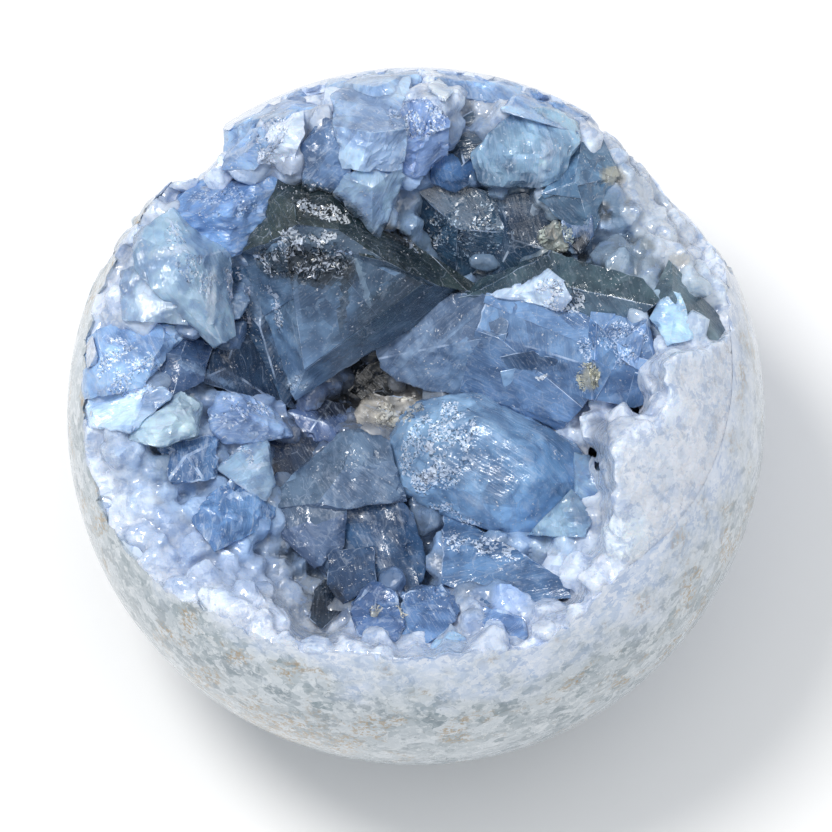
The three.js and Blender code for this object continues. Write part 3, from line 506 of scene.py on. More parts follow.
def inside_ball(points, radius):
    """Corners that stand out of the ball, or over its broken edge, are brought back to it."""
    points = np.asarray(points, dtype=float)
    reach = np.hypot(points[:, 0], points[:, 1])
    limit = edge_limit(np.degrees(np.arctan2(points[:, 1], points[:, 0])))
    shrink = np.minimum(1, limit / np.maximum(reach, 1e-6))
    points = points * np.stack([shrink, shrink, np.ones(len(points))], axis=1)
    length = np.linalg.norm(points, axis=1, keepdims=True)
    return points * np.minimum(1, radius / np.maximum(length, 1e-6))


# Crystal meshes

def hull(points):
    """The flat faces of a crystal: a closed bmesh around its corners."""
    bm = bmesh.new()
    for point in points:
        bm.verts.new(Vector(point))
    result = bmesh.ops.convex_hull(bm, input=bm.verts[:], use_existing_faces=False)
    loose = {e for e in result["geom_interior"] + result["geom_unused"] if isinstance(e, bmesh.types.BMVert)}
    bmesh.ops.delete(bm, geom=list(loose), context="VERTS")
    bmesh.ops.recalc_face_normals(bm, faces=bm.faces[:])
    return bm


def facets_of(bm):
    """Joins the triangles of each flat face; returns each face's corners, normal and distance."""
    bmesh.ops.dissolve_limit(bm, angle_limit=math.radians(7), verts=bm.verts[:], edges=bm.edges[:])
    outlines = [np.array([v.co[:] for v in face.verts]) for face in bm.faces]
    normals = np.array([face.normal[:] for face in bm.faces])
    distances = np.array([outline.mean(axis=0) @ normal for outline, normal in zip(outlines, normals)])
    return outlines, normals, distances


def squared_up(bm, spread):
    """Rebuilds a hull with fewer, larger facets: those within spread of each other become one plane."""
    faces = sorted(bm.faces, key=lambda f: -f.calc_area())
    groups = []
    for face in faces:
        area, normal = face.calc_area(), np.array(face.normal)
        distance = np.array(face.calc_center_median()) @ normal
        best = max(groups, key=lambda g: normal @ g[0] / np.linalg.norm(g[0]), default=None)
        if best is not None and normal @ best[0] / np.linalg.norm(best[0]) > math.cos(spread):
            best[0] += normal * area
            best[1] += distance * area
            best[2] += area
        else:
            groups.append([normal * area, distance * area, area])
    solid = bmesh.new()
    bmesh.ops.create_cube(solid, size=200)
    for total, distance, area in groups:
        normal = Vector(total / np.linalg.norm(total))
        everything = solid.verts[:] + solid.edges[:] + solid.faces[:]
        cut_edges = bmesh.ops.bisect_plane(solid, geom=everything, dist=1e-5, plane_no=normal,
                                           plane_co=normal * (distance / area), clear_outer=True)
        edges = [e for e in cut_edges["geom_cut"] if isinstance(e, bmesh.types.BMEdge)]
        if edges:
            bmesh.ops.contextual_create(solid, geom=edges)
    points = [v.co.copy() for v in solid.verts]
    solid.free()
    bm.free()
    return hull(points)


def refine(bm, edge):
    """Cuts long edges until none is longer than edge."""
    for step in range(7):
        long = [e for e in bm.edges if e.calc_length() > edge]
        if not long:
            break
        bmesh.ops.subdivide_edges(bm, edges=long, cuts=1, use_grid_fill=False)
        bmesh.ops.triangulate(bm, faces=[f for f in bm.faces if len(f.verts) > 3])


class Heap:
    """Collects crystals' vertices, triangles and their colours, to become one mesh."""

    def __init__(self):
        self.vertices, self.triangles = [], []
        self.tint, self.frost, self.grain = [], [], []
        self.count = 0

    def add(self, vertices, triangles, tint, frost, grain):
        self.vertices.append(vertices)
        self.triangles.append(triangles + self.count)
        self.tint.append(tint)
        self.frost.append(frost)
        self.grain.append(grain)
        self.count += len(vertices)

    def mesh_object(self, name, material=None, sharp=math.radians(24)):
        """One object, with the tint on its corners and the frost and grain on its points."""
        vertices = np.concatenate(self.vertices)
        triangles = np.concatenate(self.triangles)
        mesh = bpy.data.meshes.new(name)
        mesh.from_pydata(to_world(vertices).tolist(), [], triangles.tolist())
        tint = mesh.color_attributes.new("tint", "FLOAT_COLOR", "CORNER")
        colours = np.repeat(np.concatenate(self.tint), 3, axis=0)
        colours = np.concatenate([colours, np.ones((len(colours), 1))], axis=1)
        tint.data.foreach_set("color", colours.astype(np.float32).ravel())
        frost = mesh.attributes.new("frost", "FLOAT", "POINT")
        frost.data.foreach_set("value", np.concatenate(self.frost).astype(np.float32))
        grain = mesh.attributes.new("grain", "FLOAT_VECTOR", "POINT")
        grain.data.foreach_set("vector", np.concatenate(self.grain).astype(np.float32).ravel())
        mesh.shade_smooth()
        mesh.set_sharp_from_angle(angle=sharp)
        if material:
            mesh.materials.append(material)
        piece = bpy.data.objects.new(name, mesh)
        bpy.context.collection.objects.link(piece)
        return piece


def frame_of(axis, spin):
    """Three unit vectors, the third along axis."""
    z = np.asarray(axis, dtype=float)
    z = z / np.linalg.norm(z)
    side = np.array([math.cos(spin), math.sin(spin), 0.31])
    x = np.cross(side, z)
    x = x / np.linalg.norm(x)
    return np.stack([x, np.cross(z, x), z])


def facet_colours(normals, tint, shades):
    """Each facet's colour, painted light and shade: the crystal's, or nearer to a shade the more the facet
    leans its way.
    """
    colours = np.repeat(linear(tint)[None, :], len(normals), axis=0)
    for index, normal in enumerate(normals):
        total, mixed = 0.25, colours[index] * 0.25
        for angle, shade in shades:
            way = normal[0] * math.cos(math.radians(angle)) + normal[1] * math.sin(math.radians(angle))
            weight = max(0, way) ** 2 * 6
            total += weight
            mixed = mixed + linear(shade) * weight
        colours[index] = mixed / total
    return colours


def in_patch(x, y, patch):
    """Whether places lie in a patch of glints."""
    cos, sin = math.cos(math.radians(patch.turn)), math.sin(math.radians(patch.turn))
    a = (x - patch.x) * cos + (y - patch.y) * sin
    b = (y - patch.y) * cos - (x - patch.x) * sin
    return (a / patch.long) ** 2 + (b / patch.short) ** 2 < 1


def refine_patches(bm, patches, edge):
    """Cuts the faces in the patches down to the size of single glints."""
    for step in range(3):
        long = []
        for e in bm.edges:
            if e.calc_length() > edge:
                middle = (e.verts[0].co + e.verts[1].co) / 2
                if any(in_patch(middle.x, middle.y, patch) for patch in patches):
                    long.append(e)
        if not long:
            break
        bmesh.ops.subdivide_edges(bm, edges=long, cuts=1, use_grid_fill=False)
        bmesh.ops.triangulate(bm, faces=[f for f in bm.faces if len(f.verts) > 3])


def break_up(vertices, colour, triangles, normal_up, patches, dice):
    """Roughens the patches, and colours tiny faces: painted glints and tan flecks in the patch's colour, and
    painted dark between them.
    """
    for patch in patches:
        inside = in_patch(vertices[:, 0], vertices[:, 1], patch)
        inside &= np.array([noise.noise(Vector(v) * 0.55) > -0.12 for v in vertices])
        push = np.array([[dice.uniform(-1, 1) for _ in range(3)] for _ in vertices]) * patch.rough
        vertices = vertices + push * inside[:, None]
        face_inside = inside[triangles].all(axis=1) & normal_up
        pick = np.array([dice.random() for _ in triangles])
        # Painted glints and flecks in the patch's colour, and painted dark, on faces turned out of the hollow
        glint_and_fleck_faces = face_inside & (pick < patch.share)
        dark = face_inside & (pick > 1 - patch.share * 0.35)
        colour[glint_and_fleck_faces] = colour[glint_and_fleck_faces] * 0.2 + linear(patch.tint) * 0.8
        colour[dark] = colour[dark] * 0.45
    return vertices, colour


def toned_and_shaded(colour, centre, tones_and_shade):
    """Lays the soft light and dark places of the large crystals over their colour; the darkest are painted
    shade.
    """
    ragged = np.array([noise.noise(Vector(c) * 0.45) for c in centre])
    for tone in tones_and_shade:
        cos, sin = math.cos(math.radians(tone.turn)), math.sin(math.radians(tone.turn))
        a = (centre[:, 0] - tone.x) * cos + (centre[:, 1] - tone.y) * sin
        b = (centre[:, 1] - tone.y) * cos - (centre[:, 0] - tone.x) * sin
        away = (a / tone.long) ** 2 + (b / tone.short) ** 2 + ragged * 0.5
        share = (tone.share * np.clip(1.6 - 1.6 * away, 0, 1))[:, None]
        colour = colour * (1 - share) + linear(tone.tint) * share
    return colour


def add_crystal(heap, points, axis, tint, dice, edge, chip=0.0, frost=0.0, shades=(), fade=None,
                bevel=0.0, spread=0.0, patches=(), tones_and_shade=(), rounded=0, swell=0.0, ragged=0.0,
                reach=BALL_RADIUS - SKIN):
    """One crystal with worn edges carrying a painted highlight, facets of different brightness partly from
    painted light and shade, and its own grain; returns its facets.
    """
    bm = hull(points)
    if spread:
        bm = squared_up(bm, spread)
    outlines, normals, distances = facets_of(bm)
    if len(outlines) < 4:
        bm.free()
        return outlines, normals
    worn = bm.faces.layers.int.new("worn")
    if bevel:
        made = bmesh.ops.bevel(bm, geom=bm.edges[:], offset=bevel, segments=1, profile=0.5, affect="EDGES",
                               clamp_overlap=True)
        for face in made["faces"]:
            face[worn] = 1
    bmesh.ops.triangulate(bm, faces=bm.faces[:])
    refine(bm, edge)
    for step in range(rounded):
        bmesh.ops.smooth_vert(bm, verts=bm.verts[:], factor=0.5,
                              use_axis_x=True, use_axis_y=True, use_axis_z=True)
    if patches:
        refine_patches(bm, patches, GLINT_SIZE)
    vertices = np.array([v.co[:] for v in bm.verts])
    bm.verts.index_update()
    normal_up = np.array([f.normal.z > 0.05 for f in bm.faces])
    triangles = np.array([[v.index for v in f.verts] for f in bm.faces])
    is_worn_and_highlit = np.array([f[worn] for f in bm.faces], dtype=float)
    bm.free()
    depth = distances[None, :] - vertices @ normals.T
    to_edge = np.sort(depth, axis=1)[:, 1]
    middle = vertices.mean(axis=0)
    offset = dice.uniform(0, 100)
    if chip or swell:
        wear = np.array([noise.noise(Vector(v) * 0.9 + Vector((offset, 0, 0))) for v in vertices])
        slow = np.array([noise.noise(Vector(v) * 0.25 + Vector((0, offset, 0))) for v in vertices])
        shell = np.array([abs(noise.noise(Vector(v) * 0.6 + Vector((0, 0, offset)))) for v in vertices])
        inward = middle - vertices
        inward /= np.maximum(np.linalg.norm(inward, axis=1, keepdims=True), 1e-6)
        bite = chip * np.exp(-to_edge / 0.9) * np.clip(wear * 2 + 0.2, 0, 1.6)
        bite += swell * (slow + shell)
        if ragged:
            notch = np.array([rough_wall(v, 0.42, offset) for v in vertices])
            bite += ragged * np.clip(notch, 0, 1) * np.exp(-to_edge / 1.6)
        vertices = vertices + inward * bite[:, None]
    vertices = inside_ball(vertices, reach)
    centre = vertices[triangles].mean(axis=1)
    facet = np.argmin(np.abs(distances[None, :] - centre @ normals.T), axis=1)
    # Painted light and shade: each facet takes a colour by which way it leans
    base = facet_colours(normals, tint, shades)[facet]
    # Painted light: the colour grows lighter toward one side of the crystal
    if fade is not None:
        way = np.array([math.cos(math.radians(fade[0])), math.sin(math.radians(fade[0]))])
        along = vertices[:, :2] @ way
        share = (centre[:, :2] @ way - along.min()) / np.ptp(along)
        share = (np.clip(share, 0, 1) ** 2)[:, None]
        base = base * (1 - share) + linear(fade[1]) * share
    levels = np.array([1 + dice.uniform(-FACET_CONTRAST, FACET_CONTRAST) for _ in distances])
    slopes = np.array([[dice.uniform(-1, 1) for _ in range(3)] for _ in distances])
    size = max(np.ptp(vertices, axis=0).max(), 1)
    tilt = ((centre - middle) / size * slopes[facet]).sum(axis=1) * FACET_CONTRAST * 2.5
    colour = base * np.clip(levels[facet] + tilt, 0.35, 1.8)[:, None]
    # Worn edges: whitened by chipping, and partly a painted highlight
    streak = np.array([noise.noise(Vector(c) * 0.5 + Vector((offset, 0, 0))) for c in centre])
    share = (is_worn_and_highlit * np.clip(0.25 + streak * 1.5, 0, 0.8))[:, None]
    colour = colour * (1 - share) + linear(EDGE_TINT) * share
    colour = toned_and_shaded(colour, centre, tones_and_shade)
    if patches:
        vertices, colour = break_up(vertices, colour, triangles, normal_up, patches, dice)
    grain = (vertices - middle) @ frame_of(axis, dice.uniform(0, math.pi)).T + offset
    heap.add(vertices, triangles, colour, np.full(len(vertices), frost), grain)
    return outlines, normals


def clipped(outline, way, limit):
    """The part of a flat outline with a distance along way over limit."""
    kept = []
    for start, end in zip(outline, np.roll(outline, -1, axis=0)):
        a, b = start @ way - limit, end @ way - limit
        if a >= 0:
            kept.append(start)
        if a * b < 0:
            kept.append(start + (end - start) * a / (a - b))
    return np.array(kept)


def add_steps(heap, outlines, normals, crystal, dice, patches, tones_and_shade):
    """Cleavage steps: thin plates left standing on the large facets, all broken along one direction."""
    turn = dice.uniform(0, math.pi)
    grain = np.array([math.cos(turn), math.sin(turn), 0.2])
    for outline, normal in zip(outlines, normals):
        if normal[2] < 0.1:
            continue
        centre = outline.mean(axis=0)
        spread = np.linalg.norm(outline - centre, axis=1).max()
        if spread < 2.6:
            continue
        line = np.cross(normal, grain)
        line = line / np.linalg.norm(line)
        cross = np.cross(normal, line)
        for step in range(dice.choice((1, 2)) if spread > 4 else 1):
            way = line * dice.choice((-1, 1)) + cross * dice.uniform(-0.25, 0.25)
            way = way / np.linalg.norm(way)
            part = clipped(outline, way, centre @ way + dice.uniform(-0.35, 0.5) * spread)
            if len(part) > 2 and dice.random() < 0.55:
                side = dice.choice((-1, 1))
                part = clipped(part, cross * side, centre @ cross + dice.uniform(-0.5, 0.3) * spread)
            if len(part) < 3 or np.linalg.norm(part - part.mean(axis=0), axis=1).max() < 1.2:
                continue
            rise = dice.uniform(0.02, 0.14) + (part - centre) @ way * dice.uniform(-0.02, 0.02)
            top = part + normal * np.maximum(0.02, rise)[:, None]
            below = part - normal * 0.9
            tint = np.clip(np.array(crystal.tint) * dice.uniform(0.92, 1.12), 0, 245)
            add_crystal(heap, np.concatenate([top, below]), grain, tint, dice, edge=1, chip=0.05,
                        shades=crystal.shades, fade=crystal.fade, bevel=0.06, patches=patches, tones_and_shade=tones_and_shade)


def near_box(spot, low, high):
    """Whether a patch or tone may reach a crystal."""
    across = low[0] - spot.long < spot.x < high[0] + spot.long
    return across and low[1] - spot.long < spot.y < high[1] + spot.long


def large_crystal_points(crystal):
    """The corners seen from above, and the same outline lower down, where the neighbours cross it."""
    front = np.array(crystal.corners, dtype=float)
    middle = front.mean(axis=0)
    front = (front - middle) * (FRONT_SCALE, FRONT_SCALE, 1) + middle
    foot = (front - middle) * (FOOT_SCALE, FOOT_SCALE, 0.6) + middle - (0, 0, FOOT_DEPTH)
    return np.concatenate([front, foot])


def large_crystals(kind, heap, look):
    """All the large crystals of one kind, each with its own seeded dice."""
    for name, crystal in CRYSTALS.items():
        if crystal.kind != kind:
            continue
        dice = random.Random(name)
        points = large_crystal_points(crystal)
        axis = (dice.uniform(-1, 1), dice.uniform(-1, 1), 0.6)
        low, high = points.min(axis=0), points.max(axis=0)
        patches = [p for p in PATCHES if near_box(p, low, high)]
        tones_and_shade = [t for t in TONES_AND_SHADE if near_box(t, low, high)]
        outlines, normals = add_crystal(
            heap, points, axis, crystal.tint, dice, edge=look.edge, chip=look.chip, shades=crystal.shades,
            fade=crystal.fade, patches=patches, tones_and_shade=tones_and_shade, bevel=0 if crystal.rounded else look.bevel,
            spread=FACET_SPREAD, rounded=crystal.rounded, swell=look.swell,
            ragged=0 if crystal.rounded > 4 else look.ragged)
        if look.stepped and name in STEPPED:
            add_steps(heap, outlines, normals, crystal, dice, patches, tones_and_shade)


# The bed between the large crystals, as a height over the view plane

def rim_radius(angle):
    """How far out the hollow reaches, for each direction in degrees."""
    angles = [a for a, r in RIM]
    radii = [r for a, r in RIM]
    return np.interp(angle, angles, radii, period=360)


def ball_height(x, y):
    """The height of the ball's face over a place."""
    return np.sqrt(np.maximum(0, BALL_RADIUS ** 2 - x * x - y * y))


def bed_anchors():
    """Points the bed passes: a little under the crystals' corners, and the hollow's edge."""
    corners = [corner for crystal in CRYSTALS.values() for corner in crystal.corners]
    below = np.array(corners, dtype=float) - (0, 0, BED_DROP)
    turns = np.arange(-180, 180, 2.5)
    radius = rim_radius(turns)
    x, y = radius * np.cos(np.radians(turns)), radius * np.sin(np.radians(turns))
    return np.concatenate([below, np.stack([x, y, ball_height(x, y) - 0.4], axis=1)])


def bed_height(x, y, anchors):
    """The bed's height: a smooth sheet by its anchors, over the ball's face outside the hollow."""
    x, y = np.asarray(x, dtype=float), np.asarray(y, dtype=float)
    square = (x[:, None] - anchors[None, :, 0]) ** 2 + (y[:, None] - anchors[None, :, 1]) ** 2
    weight = 1 / (square + 1.0) ** 2.5
    low = (weight * anchors[None, :, 2]).sum(axis=1) / weight.sum(axis=1)
    inward = rim_radius(np.degrees(np.arctan2(y, x))) - np.hypot(x, y)
    top = ball_height(x, y)
    return np.where(inward < 0, top + 4, np.minimum(low, top - 0.1 - 0.15 * inward))


def zone_tints(x, y):
    """The colour between the crystals: a mix of the nearest crystals' colours, white at the rim."""
    x, y = np.asarray(x, dtype=float), np.asarray(y, dtype=float)
    places, tints = [], []
    for crystal in CRYSTALS.values():
        middle = np.mean(crystal.corners, axis=0)
        places.append(middle[:2])
        tints.append(crystal.tint)
    for angle, radius in RIM:
        for share in (0.98, 1.12):
            turn = math.radians(angle)
            places.append((radius * share * math.cos(turn), radius * share * math.sin(turn)))
            tints.append(RIM_TINT)
    places, tints = np.array(places), np.array(tints, dtype=float)
    square = (x[:, None] - places[None, :, 0]) ** 2 + (y[:, None] - places[None, :, 1]) ** 2
    weight = 1 / (square + 4) ** 2
    return (weight @ tints) / weight.sum(axis=1, keepdims=True)


def outline_of(points):
    """The convex outline of points in the view plane."""
    pairs = sorted({(round(p[0], 4), round(p[1], 4)) for p in points})

    def half(items):
        chain = []
        for p in items:
            while len(chain) > 1 and ((chain[-1][0] - chain[-2][0]) * (p[1] - chain[-2][1])
                                      - (chain[-1][1] - chain[-2][1]) * (p[0] - chain[-2][0])) <= 0:
                chain.pop()
            chain.append(p)
        return chain[:-1]

    return np.array(half(pairs) + half(pairs[::-1]))


def depth_inside(outline, point):
    """How far inside the outline a point is; negative outside."""
    start, end = outline, np.roll(outline, -1, axis=0)
    side = end - start
    cross = side[:, 0] * (point[1] - start[:, 1]) - side[:, 1] * (point[0] - start[:, 0])
    return (cross / np.linalg.norm(side, axis=1)).min()


def block_points(dice, width, length):
    """A short blunt crystal: an uneven six-sided block with a slanting top."""
    lean_x, lean_y = dice.uniform(-0.35, 0.35), dice.uniform(-0.35, 0.35)
    stretch = dice.uniform(0.7, 1)
    points = []
    for corner in range(6):
        turn = math.radians(60 * corner + dice.uniform(-18, 18))
        reach = width / 2 * dice.uniform(0.75, 1.1)
        x, y = reach * math.cos(turn), reach * stretch * math.sin(turn)
        points.append((x * 0.9, y * 0.9, -width * 0.6))
        points.append((x, y, length * dice.uniform(0.45, 0.6)))
        points.append((x * 0.62, y * 0.62, length + x * lean_x + y * lean_y))
    return np.array(points)


def scattered(heap, seed, spacing, inner, outer, widths, rise, covered, lean=0.5, pale=0.0, spread=0.12):
    """Crystals standing all over the bed, where no large crystal covers it."""
    dice = random.Random(seed)
    anchors = bed_anchors()
    steps = int(90 / spacing)
    places = []
    for row in range(-steps, steps + 1):
        for column in range(-steps, steps + 1):
            x = (column + 0.5 * (row % 2) + dice.uniform(-0.35, 0.35)) * spacing
            y = (row * 0.87 + dice.uniform(-0.35, 0.35)) * spacing
            radius = math.hypot(x, y)
            rim = rim_radius(math.degrees(math.atan2(y, x)))
            if inner < rim - radius < outer and radius < BALL_RADIUS - 1.5:
                places.append((x, y))
    places = [p for p in places if all(depth_inside(outline, p) < 0.9 for outline in covered)]
    x, y = np.array(places).T
    heights = bed_height(x, y, anchors)
    slope_x = (bed_height(x + 0.8, y, anchors) - bed_height(x - 0.8, y, anchors)) / 1.6
    slope_y = (bed_height(x, y + 0.8, anchors) - bed_height(x, y - 0.8, anchors)) / 1.6
    tints = zone_tints(x, y)
    for place, height, sx, sy, tint in zip(places, heights, slope_x, slope_y, tints):
        leaning = np.array([dice.uniform(-lean, lean), dice.uniform(-lean, lean), 0.6])
        axis = np.array([-sx, -sy, 1.0]) * 0.6 + leaning
        width = dice.uniform(*widths)
        length = width * dice.uniform(*rise)
        points = block_points(dice, width, length) @ frame_of(axis, dice.uniform(0, math.pi))
        points = points + np.array([place[0], place[1], height])
        shade = dice.uniform(1 - spread, 1 + spread * 0.6)
        white = min(1, max(0, pale + dice.uniform(-0.25, 0.25)))
        mixed = (np.array(tint) * (1 - white) + np.array(RIM_TINT) * white) * shade
        add_crystal(heap, points, axis, np.clip(mixed, 0, 250), dice, edge=3, frost=dice.uniform(0, 0.4),
                    reach=BALL_RADIUS + 3)


# The rind and the lining

def plain_object(name, points, faces):
    """An object of points in the view frame."""
    mesh = bpy.data.meshes.new(name)
    mesh.from_pydata(to_world(points).tolist(), [], faces)
    made = bpy.data.objects.new(name, mesh)
    bpy.context.collection.objects.link(made)
    return made


def ellipsoid_object(name, centre, radii, detail):
    bm = bmesh.new()
    bmesh.ops.create_icosphere(bm, subdivisions=detail, radius=1)
    way = np.array([v.co[:] for v in bm.verts])
    faces = [[v.index for v in f.verts] for f in bm.faces]
    bm.free()
    return plain_object(name, way * np.array(radii) + np.array(centre), faces)


def rough_wall(point, scale, seed):
    """Blocky bumps: the nearest of scattered points decides the height."""
    place = Vector(point) * scale + Vector((seed, 0, 0))
    distances, corners = noise.voronoi(place)
    step = noise.cell(corners[0] * 7.31)
    return (step - 0.5) * 1.2 + (0.5 - distances[0]) * 0.8


def cutter_box():
    """Everything below the ground flat."""
    bm = bmesh.new()
    bmesh.ops.create_cube(bm, size=1)
    bmesh.ops.scale(bm, vec=(0.3, 0.3, 0.1), verts=bm.verts[:])
    bmesh.ops.translate(bm, vec=(0, 0, -0.05), verts=bm.verts[:])
    mesh = bpy.data.meshes.new("below")
    bm.to_mesh(mesh)
    bm.free()
    made = bpy.data.objects.new("below", mesh)
    bpy.context.collection.objects.link(made)
    return made


def break_object(edge):
    """Everything outside a broken stretch of the edge, from well below the ball's widest line upward."""
    first, last = edge[0][0], edge[-1][0]
    angles = np.arange(first, last, 0.8)
    levels = np.arange(-34, 52, 1.1)
    limits = np.interp(angles, [a for a, r in edge], [r for a, r in edge])
    vertices = []
    for far in (False, True):
        for level in levels:
            for angle, limit in zip(angles, limits):
                turn = math.radians(angle)
                way = (math.cos(turn), math.sin(turn))
                closing = 0.3 * max(0, -10 - level)
                radius = limit + closing
                if far:
                    radius = 70
                else:
                    radius += 0.45 * rough_wall((way[0] * limit, way[1] * limit, level), 0.42, first)
                vertices.append((way[0] * radius, way[1] * radius, level))
    across, up = len(angles), len(levels)
    layer = across * up
    faces = []
    for row in range(up - 1):
        for column in range(across - 1):
            a = row * across + column
            b, c, d = a + 1, a + across, a + across + 1
            faces += [(a, c, b), (b, c, d)]
            faces += [(a + layer, b + layer, c + layer), (b + layer, d + layer, c + layer)]
    ring = list(range(across)) + [r * across + across - 1 for r in range(1, up)]
    ring += [(up - 1) * across + c for c in range(across - 2, -1, -1)]
    ring += [r * across for r in range(up - 2, 0, -1)]
    for a, b in zip(ring, ring[1:] + ring[:1]):
        faces += [(a, b, b + layer), (a, b + layer, a + layer)]
    return plain_object("break", vertices, faces)


def cut(target, cutter, operation="DIFFERENCE"):
    """Cuts the cutter out of the target, or keeps only what they share."""
    modifier = target.modifiers.new("cut", "BOOLEAN")
    modifier.object = cutter
    modifier.operation = operation
    modifier.solver = "MANIFOLD"
    apply_modifiers(target)


def apply_modifiers(target):
    """Makes what the modifiers show the object's own mesh."""
    graph = bpy.context.evaluated_depsgraph_get()
    mesh = bpy.data.meshes.new_from_object(target.evaluated_get(graph))
    target.modifiers.clear()
    old = target.data
    target.data = mesh
    bpy.data.meshes.remove(old)


def remove(made):
    mesh = made.data
    bpy.data.objects.remove(made)
    bpy.data.meshes.remove(mesh)


def bed_object(spacing=1.25, drop=0.0):
    """The space above the bed, as a solid that cuts the hollow into the ball."""
    dice = random.Random(5)
    anchors = bed_anchors()
    steps = int(52 / spacing)
    rows = range(-steps, steps + 1)
    grid = {}
    places = []
    for row in rows:
        for column in rows:
            x = (column + 0.5 * (row % 2) + dice.uniform(-0.3, 0.3)) * spacing
            y = (row * 0.87 + dice.uniform(-0.3, 0.3)) * spacing
            grid[row, column] = len(places)
            places.append((x, y))
    x, y = np.array(places).T
    heights = bed_height(x, y, anchors)
    lumps = np.array([rough_wall((a, b, 0), 0.4, 9) for a, b in places])
    small = np.array([rough_wall((a, b, 0), 0.9, 4) for a, b in places])
    jitter = np.array([dice.uniform(-0.3, 0.3) for p in places])
    inward = rim_radius(np.degrees(np.arctan2(y, x))) - np.hypot(x, y)
    uneven = (lumps * 1.1 + small * 0.5 + jitter) * np.clip(inward / 5, 0, 1)
    heights = heights + np.where(heights > ball_height(x, y), 0, uneven) - drop
    top = 60.0
    vertices = list(zip(x, y, heights)) + [(a, b, top) for a, b in places]
    count = len(places)
    faces = []
    for row in rows[:-1]:
        for column in rows[:-1]:
            a, b = grid[row, column], grid[row, column + 1]
            c, d = grid[row + 1, column], grid[row + 1, column + 1]
            pairs = [(a, b, d), (a, d, c)] if row % 2 else [(a, b, c), (b, d, c)]
            for p, q, r in pairs:
                faces.append((p, r, q))
                faces.append((p + count, q + count, r + count))
    edge = [grid[rows[0], c] for c in rows] + [grid[r, rows[-1]] for r in rows[1:]]
    edge += [grid[rows[-1], c] for c in reversed(rows[:-1])]
    edge += [grid[r, rows[0]] for r in reversed(rows[1:-1])]
    for a, b in zip(edge, edge[1:] + edge[:1]):
        faces.append((a, b, b + count))
        faces.append((a, b + count, a + count))
    return plain_object("above_bed", vertices, faces)


def whole_ball(name, cutters):
    """The ball before it is split into rind and lining."""
    ball = ellipsoid_object(name, (0, 0, 0), (BALL_RADIUS,) * 3, BALL_DETAIL)
    for cutter in cutters:
        cut(ball, cutter)
    return ball


def finish_mesh(piece, material, sharp):
    """Smooth shading with edges kept sharp from an angle in degrees, and the piece's only material."""
    piece.data.shade_smooth()
    piece.data.set_sharp_from_angle(angle=math.radians(sharp))
    piece.data.materials.clear()
    piece.data.materials.append(material)


# Materials

